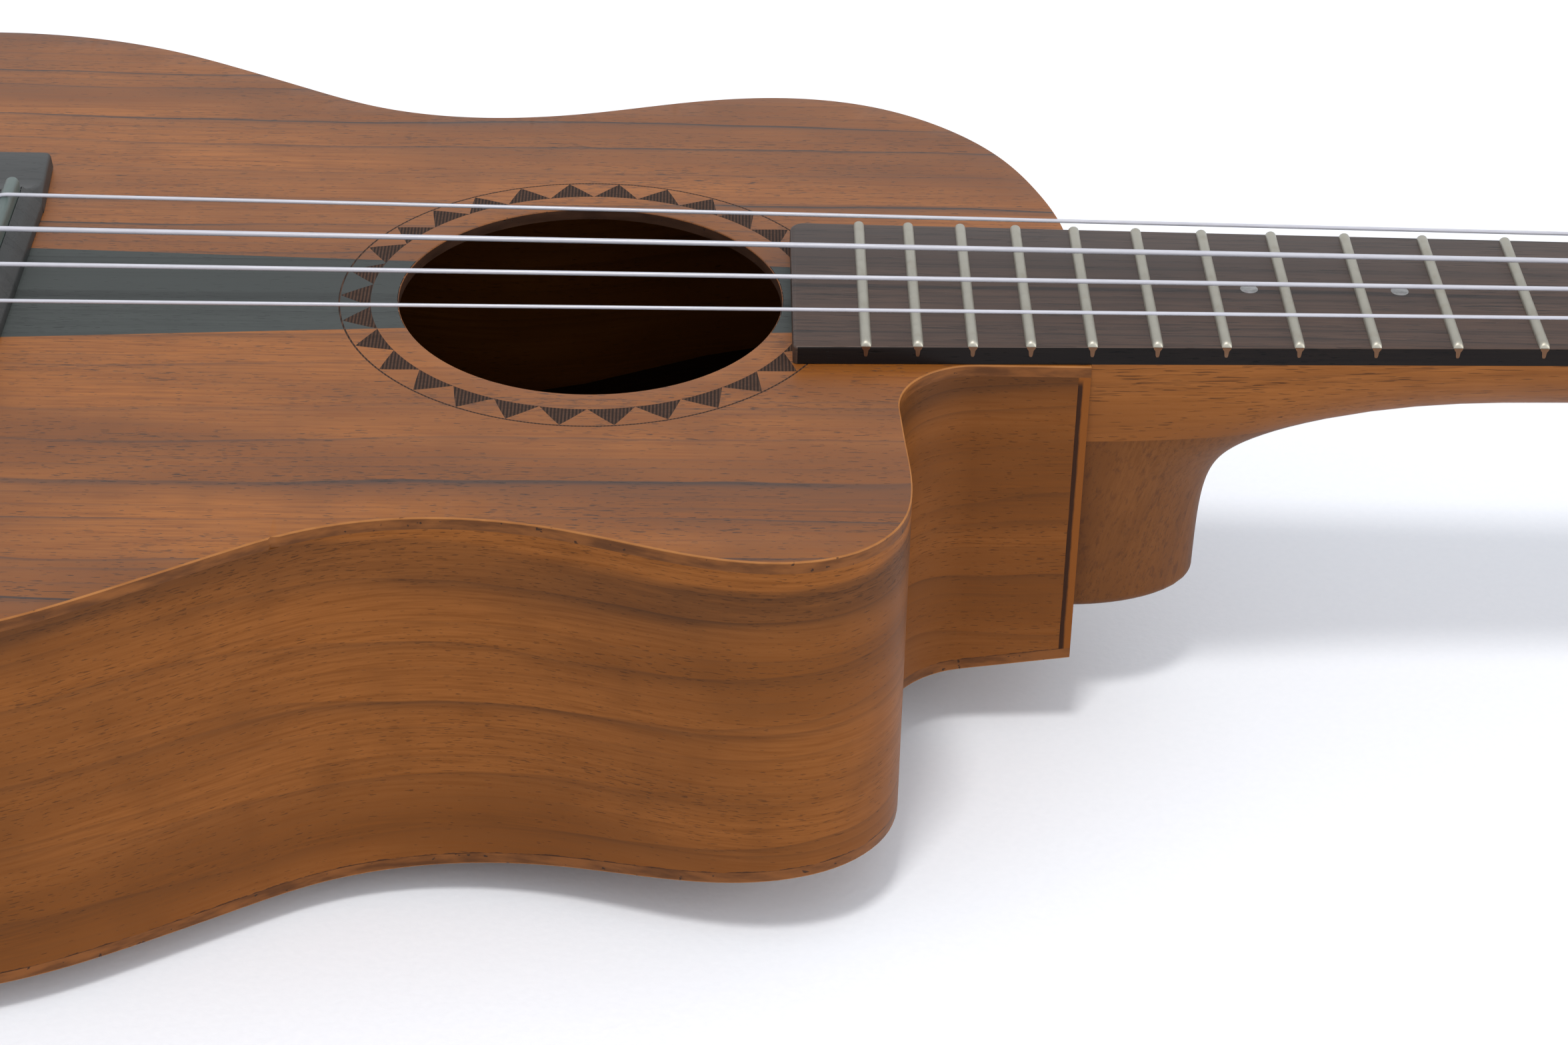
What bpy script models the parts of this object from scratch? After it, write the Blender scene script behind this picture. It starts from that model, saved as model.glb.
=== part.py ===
"""A tenor cutaway ukulele, modelled as the separate pieces that a luthier would glue and bolt together.

The design axes run X from the bridge to the headstock, Y from the treble to the bass side and Z up out of
the soundboard. Their zero is on the centre line, a scale length short of the nut, at the crown of the
soundboard. The empty "instrument" carries everything and sets the origin under the middle of the whole.
"""

import math

import bmesh
import bpy
import numpy as np
from mathutils import Matrix, Vector

MM = 0.001
GAP = 0.3 * MM  # clearance kept between pieces that are glued or seated together

# Scale and fretboard
SCALE_LENGTH = 432 * MM
FRET_COUNT = 18
BODY_JOINT_FRET = 14
BOARD_END_X = 140 * MM
BOARD_TOP_Z = 3.45 * MM
BOARD_HALF_AT_JOINT = 22.15 * MM
BOARD_HALF_AT_NUT = 17.0 * MM
FRET_HEIGHT = 1.0 * MM
FRET_WIDTH = 2.0 * MM
TANG_WIDTH = 0.6 * MM
TANG_DEPTH = 1.5 * MM

# Body
JOINT_X = SCALE_LENGTH * 2 ** (-BODY_JOINT_FRET / 12)
TOP_THICKNESS = 2.2 * MM
BACK_THICKNESS = 2.2 * MM
RIB_THICKNESS = 2.0 * MM
LINING_THICKNESS = 4.0 * MM
LINING_HEIGHT = 7.0 * MM
TOP_ARCH_RADIUS = 3400 * MM
BACK_DEPTH = 78.7 * MM
BACK_CROWN_X = -30 * MM
BACK_RADIUS_LENGTHWISE = 1490 * MM
BACK_RADIUS_ACROSS = 1000 * MM
HOLE_X = 104 * MM
HOLE_RADIUS = 34.4 * MM
LOWER_BOUT_X = -24 * MM
LOWER_BOUT_HALF = 111.8 * MM
TAIL_LENGTH = 86 * MM
CUTAWAY_Y = -22.8 * MM
CUTAWAY_RADIUS = 14.4 * MM
STRIPE_DEPTH = 1.0 * MM

# Heel and neck
HEEL_DEPTH = 56 * MM
HEEL_REACH = 24.2 * MM
SHAFT_DEPTH = 16.4 * MM
SHAFT_DEPTH_AT_NUT = 14.6 * MM
SHAFT_GLUE_Z = -16.6 * MM

# Bridge and strings
SADDLE_X = -3.6 * MM
SADDLE_THICKNESS = 2.6 * MM
BRIDGE_FRONT_X = 1.4 * MM
BRIDGE_BACK_X = -24 * MM
BRIDGE_HALF_LENGTH = 48 * MM
TIE_BLOCK_HALF = 30 * MM
STRINGS = (("G", 0.72 * MM), ("C", 0.98 * MM), ("E", 0.84 * MM), ("A", 0.66 * MM))
SPACING_AT_SADDLE = 13.3 * MM
SPACING_AT_NUT = 9.2 * MM
STRING_Z_AT_SADDLE = 8.5 * MM
STRING_Z_AT_NUT = 6.6 * MM
NUT_THICKNESS = 4.5 * MM

# Headstock, in its own axes: u along it from behind the nut, v across, w out of its face
HEADSTOCK_ANGLE = math.radians(12)
HEADSTOCK_THICKNESS = 12 * MM
HEADSTOCK_LENGTH = 132 * MM
VENEER_THICKNESS = 1.0 * MM
TUNER_U = (42 * MM, 88 * MM)
TUNER_V = (17 * MM, 19 * MM)

# Tuning machines
POST_RADIUS = 3.0 * MM
POST_HEIGHT = 14 * MM
GEAR_TEETH = 16
GEAR_PITCH_RADIUS = 5.0 * MM
GEAR_TIP_RADIUS = 5.4 * MM
GEAR_ROOT_RADIUS = 4.2 * MM
GEAR_FACE = 2.4 * MM
WORM_TIP_RADIUS = 2.6 * MM
WORM_ROOT_RADIUS = 1.6 * MM
WORM_CENTRE = 7.35 * MM
WORM_LEAD = 2 * math.pi * GEAR_PITCH_RADIUS / GEAR_TEETH
WORM_HALF_LENGTH = 3.8 * MM
SHAFT_RADIUS = 1.3 * MM
GEAR_W = -(VENEER_THICKNESS + GAP + HEADSTOCK_THICKNESS + GAP + 3.2 * MM)
BUTTON_START = 16.5 * MM
BUTTON_SIZE = (13 * MM, 12 * MM, 7 * MM)

WOODS = {
    "teak": ((0.42, 0.19, 0.075), 0.5),
    "mahogany": ((0.36, 0.17, 0.08), 0.55),
    "spruce": ((0.72, 0.55, 0.34), 0.6),
    "rosewood": ((0.06, 0.035, 0.025), 0.45),
    "stained_wood": ((0.06, 0.065, 0.065), 0.5),
}


# ---------------------------------------------------------------- scene helpers


def clear_scene():
    for old in list(bpy.data.objects):
        bpy.data.objects.remove(old, do_unlink=True)


def material(name, colour, roughness, metallic=0.0):
    made = bpy.data.materials.get(name) or bpy.data.materials.new(name)
    made.use_nodes = True
    shader = made.node_tree.nodes["Principled BSDF"]
    shader.inputs["Base Color"].default_value = (*colour, 1)
    shader.inputs["Roughness"].default_value = roughness
    shader.inputs["Metallic"].default_value = metallic
    return made


def wood(name):
    colour, roughness = WOODS[name]
    return material(name, colour, roughness)


def nickel():
    return material("nickel", (0.66, 0.63, 0.58), 0.3, 1.0)


def bone():
    return material("bone", (0.82, 0.78, 0.68), 0.35)


def empty(name, parent=None, matrix=Matrix()):
    made = bpy.data.objects.new(name, None)
    bpy.context.scene.collection.objects.link(made)
    made.parent = parent
    made.matrix_local = matrix
    return made


def mesh_object(name, mesh, parent, look=None):
    made = bpy.data.objects.new(name, mesh)
    bpy.context.scene.collection.objects.link(made)
    made.parent = parent
    if look is None:
        made.hide_render = True
        made.display_type = "WIRE"
    elif not mesh.materials:
        mesh.materials.append(look)
    return made


def finish_mesh(name, shape, smooth=False):
    """The bmesh as a mesh whose faces point out."""
    bmesh.ops.remove_doubles(shape, verts=shape.verts, dist=1e-7)
    bmesh.ops.recalc_face_normals(shape, faces=shape.faces)
    mesh = bpy.data.meshes.new(name)
    shape.to_mesh(mesh)
    shape.free()
    if smooth:
        mesh.shade_smooth()
        mesh.set_sharp_from_angle(angle=math.radians(35))
    return mesh


def prism(name, outline, low, high, axis="z"):
    """A straight extrusion of a flat outline between two heights on the given axis."""
    order = {"z": (0, 1, 2), "y": (0, 2, 1), "x": (2, 0, 1)}[axis]
    shape = bmesh.new()
    rings = []
    for height in (low, high):
        ring = []
        for a, b in outline:
            flat = (a, b, height)
            ring.append(shape.verts.new([flat[i] for i in order]))
        rings.append(ring)
    bridge_rings(shape, rings)
    return finish_mesh(name, shape)


def bridge_rings(shape, rings):
    """Quads between each ring and the next, and a face over each end."""
    for first, second in zip(rings, rings[1:]):
        for i in range(len(first)):
            j = (i + 1) % len(first)
            shape.faces.new((first[i], first[j], second[j], second[i]))
    shape.faces.new(rings[0][::-1])
    shape.faces.new(rings[-1])


def turned(name, profile, steps, axis="z"):
    """A solid of revolution through (radius, height) points, with both ends closed."""
    shape = bmesh.new()
    rings = []
    for radius, height in profile:
        ring = []
        for step in range(steps):
            angle = 2 * math.pi * step / steps
            a, b = radius * math.cos(angle), radius * math.sin(angle)
            place = {"z": (a, b, height), "y": (b, height, a), "x": (height, a, b)}[axis]
            ring.append(shape.verts.new(place))
        rings.append(ring)
    bridge_rings(shape, rings)
    return finish_mesh(name, shape, smooth=True)


def box(name, low, high):
    corners = [(low[0], low[1]), (high[0], low[1]), (high[0], high[1]), (low[0], high[1])]
    return prism(name, corners, low[2], high[2])


def combine(target, operation, mesh, parent, matrix=Matrix()):
    """Adds a Boolean modifier whose operand is a hidden object."""
    operand = mesh_object(f"{target.name}_{operation.lower()}_{len(target.modifiers)}", mesh, parent)
    operand.matrix_local = matrix
    modifier = target.modifiers.new(f"{operation} {len(target.modifiers)}", "BOOLEAN")
    modifier.operation = operation
    modifier.solver = "EXACT"
    modifier.object = operand
    return operand


# ---------------------------------------------------------------- outline of the body


def smooth_curve(points, spacing):
    """A natural cubic spline through the points, sampled about every spacing."""
    points = np.array(points, float)
    along = np.concatenate([[0], np.cumsum(np.linalg.norm(np.diff(points, axis=0), axis=1))])
    count = len(along)
    span = np.diff(along)
    system = np.eye(count)
    right = np.zeros_like(points)
    for i in range(1, count - 1):
        system[i, i - 1 : i + 2] = span[i - 1], 2 * (span[i - 1] + span[i]), span[i]
        after = (points[i + 1] - points[i]) / span[i]
        before = (points[i] - points[i - 1]) / span[i - 1]
        right[i] = 6 * (after - before)
    bend = np.linalg.solve(system, right)
    at = np.linspace(0, along[-1], round(along[-1] / spacing) + 1)
    i = np.clip(np.searchsorted(along, at, side="right") - 1, 0, count - 2)
    a = ((along[i + 1] - at) / span[i])[:, None]
    b = 1 - a
    swing = (a**3 - a) * bend[i] + (b**3 - b) * bend[i + 1]
    return a * points[i] + b * points[i + 1] + swing * span[i][:, None] ** 2 / 6


def body_path(spacing):
    """The rim from the bass front corner, round the tail, to the start of the cutaway's straight run."""
    waist = [(15, 104.2), (30, 95.8), (45, 86.3), (60, 77.9), (78, 73.9), (100, 76.3)]
    waist = [(x * MM, y * MM) for x, y in waist]
    shoulder = [(121, 82.6), (142, 85.2), (157, 81.8), (170, 73.3), (181, 59.8), (187.6, 44.5)]
    shoulder += [(190.9, 32), (192, 24)]
    bass = waist + [(x * MM, y * MM) for x, y in shoulder]
    tail = []
    for angle in range(85, -86, -17):
        turn = math.radians(angle)
        tail.append((LOWER_BOUT_X - TAIL_LENGTH * math.cos(turn), LOWER_BOUT_HALF * math.sin(turn)))
    horn = [(120, -82.8), (137, -85.6), (150, -82), (157.2, -73.8), (159.4, -63), (158.9, -50)]
    arc_x = 158.2 * MM
    treble = [(x, -y) for x, y in waist] + [(x * MM, y * MM) for x, y in horn]
    arc_y = CUTAWAY_Y - CUTAWAY_RADIUS
    treble.append((arc_x, arc_y))
    path = smooth_curve(bass[::-1] + tail + treble, spacing).tolist()
    steps = round(math.pi / 2 * CUTAWAY_RADIUS / (0.6 * spacing))
    for step in range(1, steps + 1):
        turn = math.pi - math.pi / 2 * step / steps
        x = arc_x + CUTAWAY_RADIUS * (1 + math.cos(turn))
        path.append((x, arc_y + CUTAWAY_RADIUS * math.sin(turn)))
    return path


def rim_halves(spacing):
    """The rim's bass and treble runs, which meet at the tail, each as a list of (x, y)."""
    path = body_path(spacing)
    tail = min(range(len(path)), key=lambda i: path[i][0])
    front = [(JOINT_X, CUTAWAY_Y), (JOINT_X, -8 * MM), (JOINT_X, 8 * MM), (JOINT_X, 20 * MM)]
    return front + path[: tail + 1], path[tail:] + [(JOINT_X, CUTAWAY_Y)]


def outline(spacing):
    bass, treble = rim_halves(spacing)
    return bass + treble[1:-1]


def inset(path, depth):
    """The open path moved to its left, which is into the body, by depth."""
    points = np.array(path)
    ahead = np.vstack([points[1:], 2 * points[-1] - points[-2]])
    behind = np.vstack([2 * points[0] - points[1], points[:-1]])
    into = (ahead - points) / np.linalg.norm(ahead - points, axis=1)[:, None]
    out = (points - behind) / np.linalg.norm(points - behind, axis=1)[:, None]
    along = into + out
    along /= np.linalg.norm(along, axis=1)[:, None]
    stretch = 1 / np.maximum((along * into).sum(axis=1), 0.5)
    left = np.column_stack([-along[:, 1], along[:, 0]])
    return points + depth * stretch[:, None] * left


def top_z(x, y):
    """The soundboard's outer face: a slight arch across the grain."""
    return -(y**2) / (2 * TOP_ARCH_RADIUS)


def back_z(x, y):
    """The back's outer face: arched both ways, deepest in the lower bout."""
    lengthwise = (x - BACK_CROWN_X) ** 2 / (2 * BACK_RADIUS_LENGTHWISE)
    return -BACK_DEPTH + lengthwise + y**2 / (2 * BACK_RADIUS_ACROSS)


def band(name, outer, inner, low, high):
    """A closed strip between two side paths, from low(x, y) to high(x, y)."""
    shape = bmesh.new()
    rings = []
    for (ox, oy), (ix, iy) in zip(outer, inner):
        corners = [(ox, oy, low(ox, oy)), (ox, oy, high(ox, oy)), (ix, iy, high(ix, iy)), (ix, iy, low(ix, iy))]
        rings.append([shape.verts.new(corner) for corner in corners])
    bridge_rings(shape, rings)
    return finish_mesh(name, shape, smooth=True)


def slab(name, low, high, columns, rows):
    """A sheet over the whole body between two height functions."""
    xs = np.linspace(-120 * MM, 200 * MM, columns)
    ys = np.linspace(-120 * MM, 120 * MM, rows)
    shape = bmesh.new()
    sheets = []
    for height in (low, high):
        sheets.append([[shape.verts.new((x, y, height(x, y))) for y in ys] for x in xs])
    under, over = sheets
    for i in range(columns - 1):
        for j in range(rows - 1):
            shape.faces.new((under[i][j], under[i][j + 1], under[i + 1][j + 1], under[i + 1][j]))
            shape.faces.new((over[i][j], over[i + 1][j], over[i + 1][j + 1], over[i][j + 1]))
    for i in range(columns - 1):
        shape.faces.new((under[i][0], under[i + 1][0], over[i + 1][0], over[i][0]))
        shape.faces.new((under[i + 1][-1], under[i][-1], over[i][-1], over[i + 1][-1]))
    for j in range(rows - 1):
        shape.faces.new((under[0][j + 1], under[0][j], over[0][j], over[0][j + 1]))
        shape.faces.new((under[-1][j], under[-1][j + 1], over[-1][j + 1], over[-1][j]))
    return finish_mesh(name, shape)


# ---------------------------------------------------------------- the body's pieces


def stripe_outline(near_hole_x, far_x, near_half, far_low, far_high):
    """A tapered strip of the soundboard, whose end beside the soundhole follows the hole."""
    start = math.asin(near_half / HOLE_RADIUS)
    side = 1 if near_hole_x > HOLE_X else -1
    arc = []
    for step in range(7):
        turn = start - 2 * start * step / 6
        arc.append((HOLE_X + side * HOLE_RADIUS * math.cos(turn), HOLE_RADIUS * math.sin(turn)))
    return arc + [(far_x, far_low), (far_x, far_high)]


def stripes():
    """The dark inlay's two runs: tail to soundhole, and soundhole to neck."""
    lower = stripe_outline(HOLE_X - HOLE_RADIUS, -105 * MM, 12.4 * MM, -25.5 * MM, 20 * MM)
    upper = stripe_outline(HOLE_X + HOLE_RADIUS, 190 * MM, 12.4 * MM, -9.5 * MM, 9.5 * MM)
    return {"centre_stripe_lower": lower, "centre_stripe_upper": upper}


def grown(points, by):
    """A convex outline moved outwards, so that an inlay keeps clear of its recess."""
    points = np.array(points)
    centre = points.mean(axis=0)
    away = points - centre
    return (centre + away * (1 + by / np.abs(away).max(axis=0))).tolist()


def make_soundboard(parent):
    mesh = slab("soundboard", lambda x, y: top_z(x, y) - TOP_THICKNESS, top_z, 2, 15)
    board = mesh_object("soundboard", mesh, parent, wood("teak"))
    rim = prism("soundboard_rim", outline(7 * MM), -20 * MM, 20 * MM)
    combine(board, "INTERSECT", rim, parent)
    hole = turned("soundhole", [(HOLE_RADIUS, -20 * MM), (HOLE_RADIUS, 20 * MM)], 64)
    combine(board, "DIFFERENCE", hole, parent, Matrix.Translation((HOLE_X, 0, 0)))
    for name, points in stripes().items():
        recess = prism(f"{name}_recess", points, -STRIPE_DEPTH, 5 * MM)
        combine(board, "DIFFERENCE", recess, parent)


def make_stripes(parent):
    for name, points in stripes().items():
        inlay = prism(name, grown(points, -GAP), -STRIPE_DEPTH + GAP, -0.02 * MM)
        mesh_object(name, inlay, parent, wood("stained_wood"))


def make_back(parent):
    mesh = slab("back_plate", back_z, lambda x, y: back_z(x, y) + BACK_THICKNESS, 15, 11)
    plate = mesh_object("back_plate", mesh, parent, wood("teak"))
    combine(plate, "INTERSECT", prism("back_rim", outline(7 * MM), -100 * MM, -20 * MM), parent)


def under_top(depth=0.0):
    return lambda x, y: top_z(x, y) - TOP_THICKNESS - GAP - depth


def over_back(height=0.0):
    return lambda x, y: back_z(x, y) + BACK_THICKNESS + GAP + height


def make_ribs(parent):
    bass, treble = rim_halves(7 * MM)
    treble = treble[:-1] + [(JOINT_X - RIB_THICKNESS - GAP, CUTAWAY_Y)]
    treble[0] = (treble[0][0], treble[0][1] - GAP)
    for name, path in (("side_bass", bass), ("side_treble", treble)):
        inner = inset(path, RIB_THICKNESS)
        mesh = band(name, path, inner, over_back(), under_top())
        mesh_object(name, mesh, parent, wood("teak"))


def make_linings(parent):
    bass, treble = rim_halves(13 * MM)
    runs = {"bass": bass[6:-2], "treble": treble[2:-3]}
    for side, path in runs.items():
        outer = inset(path, RIB_THICKNESS + 3 * GAP)
        inner = inset(path, RIB_THICKNESS + 3 * GAP + LINING_THICKNESS)
        top = band("top_lining", outer, inner, under_top(LINING_HEIGHT), under_top())
        mesh_object(f"top_lining_{side}", top, parent, wood("mahogany"))
        low = band("back_lining", outer, inner, over_back(), over_back(LINING_HEIGHT))
        mesh_object(f"back_lining_{side}", low, parent, wood("mahogany"))


def shaped_block(name, corners, low, high, parent, look):
    """A block with a flat outline whose ends follow the two plates."""
    shape = bmesh.new()
    rings = []
    for height in (low, high):
        rings.append([shape.verts.new((x, y, height(x, y))) for x, y in corners])
    bridge_rings(shape, rings)
    mesh_object(name, finish_mesh(name, shape), parent, look)


def make_blocks(parent):
    inside = JOINT_X - RIB_THICKNESS - GAP
    low = over_back(0.4 * MM)
    high = under_top(0.1 * MM)
    wall = CUTAWAY_Y + RIB_THICKNESS + GAP
    front = [(inside, wall), (inside, 19 * MM), (JOINT_X - 24 * MM, 26 * MM), (JOINT_X - 24 * MM, wall)]
    shaped_block("neck_block", front, low, high, parent, wood("mahogany"))
    tail_x = LOWER_BOUT_X - TAIL_LENGTH + RIB_THICKNESS
    half = 22 * MM
    tail = [(tail_x + GAP, -6 * MM), (tail_x + 13 * MM, -half), (tail_x + 13 * MM, half), (tail_x + GAP, 6 * MM)]
    tail.insert(1, (tail_x + 3.4 * MM, -half))
    tail.append((tail_x + 3.4 * MM, half))
    tail = tail[-1:] + tail[:-1]
    shaped_block("tail_block", sorted_ring(tail), low, high, parent, wood("mahogany"))


def sorted_ring(points):
    """The points of a convex outline in turning order."""
    centre = np.mean(points, axis=0)
    return sorted(points, key=lambda p: math.atan2(p[1] - centre[1], p[0] - centre[0]))


def make_brace(name, start, end, width, height, on_top, parent):
    """A bar glued across a plate, with its ends scooped down."""
    start, end = Vector(start), Vector(end)
    along = (end - start).normalized()
    aside = Vector((-along.y, along.x)) * width / 2
    shape = bmesh.new()
    rings = []
    steps = 10
    for step in range(steps + 1):
        share = step / steps
        centre = start.lerp(end, share)
        tall = height * (0.35 + 0.65 * min(1, 4 * min(share, 1 - share)))
        glued = under_top(0.05 * MM) if on_top else over_back(0.15 * MM)
        ring = []
        for side, share_of_height in ((-1, 0), (1, 0), (1, 0.6), (0.35, 1), (-0.35, 1), (-1, 0.6)):
            x, y = centre + aside * side
            rise = -tall * share_of_height if on_top else tall * share_of_height
            ring.append(shape.verts.new((x, y, glued(x, y) + rise)))
        rings.append(ring)
    bridge_rings(shape, rings)
    mesh_object(name, finish_mesh(name, shape), parent, wood("spruce"))


def make_bracing(parent):
    top_bars = {
        "upper_brace": ((143.6 * MM, -66 * MM), (143.6 * MM, 70 * MM), 6 * MM, 9 * MM),
        "lower_brace": ((62 * MM, -68 * MM), (62 * MM, 68 * MM), 6 * MM, 9 * MM),
        "fan_brace_bass": ((56 * MM, 18 * MM), (6 * MM, 36 * MM), 5 * MM, 5 * MM),
        "fan_brace_treble": ((56 * MM, -18 * MM), (6 * MM, -36 * MM), 5 * MM, 5 * MM),
    }
    for name, (start, end, width, height) in top_bars.items():
        make_brace(name, start, end, width, height, True, parent)
    back_bars = {"back_brace_upper": (125 * MM, 74 * MM), "back_brace_lower": (0, 98 * MM)}
    for name, (x, half) in back_bars.items():
        make_brace(name, (x, -half), (x, half), 7 * MM, 10 * MM, False, parent)
    half = 52 * MM
    plate = [(-26 * MM, -half), (2 * MM, -half), (2 * MM, half), (-26 * MM, half)]
    low = under_top(2.6 * MM)
    shaped_block("bridge_plate", plate, low, under_top(0.5 * MM), parent, wood("spruce"))


# ---------------------------------------------------------------- neck, heel and headstock


def board_half(x):
    """Half the fretboard's width, which narrows evenly from the body joint to the nut."""
    share = (x - JOINT_X) / (SCALE_LENGTH - JOINT_X)
    return BOARD_HALF_AT_JOINT + share * (BOARD_HALF_AT_NUT - BOARD_HALF_AT_JOINT)


def roundness(x, depth):
    """0 on the neck's axis plane, 1 on its surface at the middle of the width."""
    reach = HEEL_REACH + 23.4 * MM * math.exp(-(depth - 19 * MM) / (5.3 * MM))
    nose = ((x - JOINT_X) / reach) ** 2
    share = min(1, max(0, (x - JOINT_X - HEEL_REACH) / (58 * MM)))
    blend = share * share * (3 - 2 * share)
    towards_nut = (x - JOINT_X) / (SCALE_LENGTH - JOINT_X)
    shaft_depth = SHAFT_DEPTH + (SHAFT_DEPTH_AT_NUT - SHAFT_DEPTH) * towards_nut
    return blend * (depth / shaft_depth) ** 2 + (1 - blend) * nose


def neck_depth(x):
    """How far the neck reaches below the fretboard at its middle."""
    low, high = 0.0, HEEL_DEPTH
    if roundness(x, high) < 1:
        return high
    for _ in range(40):
        middle = (low + high) / 2
        if roundness(x, middle) < 1:
            low = middle
        else:
            high = middle
    return low


def neck_stations():
    """Places along the neck for its cross-sections, close together where the heel turns."""
    near = [0, 8, 14, 18, 21, 23, 24, 24.6, 25.4, 26.8, 29, 32, 36, 42, 50, 62]
    places = [JOINT_X + GAP + step * MM for step in near]
    last = SCALE_LENGTH + NUT_THICKNESS
    return places + np.linspace(places[-1] + 14 * MM, last, 8).tolist()


def neck_blank():
    """The neck with its heel, before the heel block is parted from the shaft."""
    shape = bmesh.new()
    levels = [math.sin(math.pi / 2 * step / 9) for step in range(10)]
    rings = []
    for x in neck_stations():
        deepest = neck_depth(x)
        side = []
        for level in levels:
            depth = deepest * level
            taper = 1 - 0.32 * (depth / HEEL_DEPTH) ** 1.3
            half = board_half(x) * taper * math.sqrt(max(0, 1 - roundness(x, depth)))
            side.append((half, -depth))
        section = [(-y, z) for y, z in side] + side[::-1]
        rings.append([shape.verts.new((x, y, z)) for y, z in section])
    bridge_rings(shape, rings)
    bmesh.ops.remove_doubles(shape, verts=shape.verts, dist=1e-6)
    return shape


def headstock_outline(grow=0.0):
    """The headstock's plan: shoulders flaring from the nut to a shallow wave across the end."""
    side = [(0, 17.2), (9, 18), (20, 23.5), (34, 27.3), (60, 28.6), (95, 30.6), (118, 32), (127, 30.5)]
    side = smooth_curve([(u * MM, v * MM) for u, v in side], 7 * MM).tolist()
    crest = [(HEADSTOCK_LENGTH, 20 * MM), (HEADSTOCK_LENGTH - 1.5 * MM, 0)]
    crown = smooth_curve([side[-1]] + crest, 7 * MM).tolist()[1:-1]
    half = [(u, v + grow) for u, v in side] + crown
    return half + [(HEADSTOCK_LENGTH - 1.5 * MM, 0)] + [(u, -v) for u, v in half[::-1]]


def headstock_matrix():
    """From the headstock's own axes to the instrument's: it leans back from behind the nut."""
    turn = Matrix.Rotation(HEADSTOCK_ANGLE, 4, "Y")
    return Matrix.Translation((SCALE_LENGTH + NUT_THICKNESS + GAP, 0, 0)) @ turn


def tuner_places():
    """Each string's name and its machine's matrix on the headstock; the buttons point outwards."""
    places = {}
    for name, row, side in (("G", 0, 1), ("C", 1, 1), ("E", 1, -1), ("A", 0, -1)):
        turn = Matrix.Rotation(0 if side > 0 else math.pi, 4, "Z")
        places[name] = Matrix.Translation((TUNER_U[row], side * TUNER_V[row], 0)) @ turn
    return places


def make_neck(parent, head):
    neck = mesh_object("neck", finish_mesh("neck", neck_blank(), smooth=True), parent, wood("mahogany"))
    shaft_only = box("shaft_side", (-50 * MM, -60 * MM, SHAFT_GLUE_Z), (500 * MM, 60 * MM, 40 * MM))
    combine(neck, "INTERSECT", shaft_only, parent)
    face = -(VENEER_THICKNESS + GAP)
    back = face - HEADSTOCK_THICKNESS
    plan = [(u - (6 * MM if u < 1e-6 else 0), v) for u, v in headstock_outline()]
    combine(neck, "UNION", prism("headstock_slab", plan, back, face), head)
    under_nut = box("nut_seat", (SCALE_LENGTH, -30 * MM, 0), (500 * MM, 30 * MM, 20 * MM))
    combine(neck, "DIFFERENCE", under_nut, parent)
    veneer = prism("headstock_veneer", headstock_outline(), face + GAP, 0)
    cover = mesh_object("headstock_veneer", veneer, head, wood("teak"))
    for matrix in tuner_places().values():
        bore = turned("post_bore", [(POST_RADIUS + 0.4 * MM, -30 * MM), (POST_RADIUS + 0.4 * MM, 10 * MM)], 20)
        combine(neck, "DIFFERENCE", bore, head, matrix)
        combine(cover, "DIFFERENCE", bore, head, matrix)


def make_heel(parent):
    heel = mesh_object("heel", finish_mesh("heel", neck_blank(), smooth=True), parent, wood("mahogany"))
    block_only = box("heel_side", (-50 * MM, -60 * MM, -80 * MM), (500 * MM, 60 * MM, SHAFT_GLUE_Z - GAP))
    combine(heel, "INTERSECT", block_only, parent)


def fret_x(number):
    return SCALE_LENGTH * 2 ** (-number / 12)


def make_fretboard(parent):
    """A tapered board with a slot under each fret."""
    low = GAP
    slot_half = TANG_WIDTH / 2 + GAP
    slot_floor = BOARD_TOP_Z - TANG_DEPTH - GAP
    profile = [(BOARD_END_X, low), (SCALE_LENGTH - GAP, low), (SCALE_LENGTH - GAP, BOARD_TOP_Z)]
    for number in range(1, FRET_COUNT + 1):
        x = fret_x(number)
        profile += [(x + slot_half, BOARD_TOP_Z), (x + slot_half, slot_floor)]
        profile += [(x - slot_half, slot_floor), (x - slot_half, BOARD_TOP_Z)]
    profile.append((BOARD_END_X, BOARD_TOP_Z))
    shape = bmesh.new()
    rings = []
    for side in (-1, 1):
        rings.append([shape.verts.new((x, side * board_half(x), z)) for x, z in profile])
    bridge_rings(shape, rings)
    mesh_object("fretboard", finish_mesh("fretboard", shape), parent, wood("rosewood"))


def make_frets(parent):
    """Each fret is a crown and a tang, bevelled in at the ends."""
    foot = BOARD_TOP_Z + 0.02 * MM
    half_tang = TANG_WIDTH / 2
    crown = [(-1, 0), (-0.85, 0.45), (-0.45, 0.9), (0, 1), (0.45, 0.9), (0.85, 0.45), (1, 0)]
    for number in range(1, FRET_COUNT + 1):
        x = fret_x(number)
        half = board_half(x) - 0.3 * MM
        section = [(x + share * FRET_WIDTH / 2, foot + rise * FRET_HEIGHT) for share, rise in crown]
        section += [(x + half_tang, foot), (x + half_tang, BOARD_TOP_Z - TANG_DEPTH)]
        section += [(x - half_tang, BOARD_TOP_Z - TANG_DEPTH), (x - half_tang, foot)]
        shape = bmesh.new()
        rings = []
        for side in (-1, 1):
            ring = []
            for px, pz in section:
                lean = max(0, pz - foot) * 0.6
                ring.append(shape.verts.new((px, side * (half - lean), pz)))
            rings.append(ring)
        bridge_rings(shape, rings)
        mesh = finish_mesh("fret", shape, smooth=True)
        mesh_object(f"fret_{number:02d}", mesh, parent, nickel())


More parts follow.
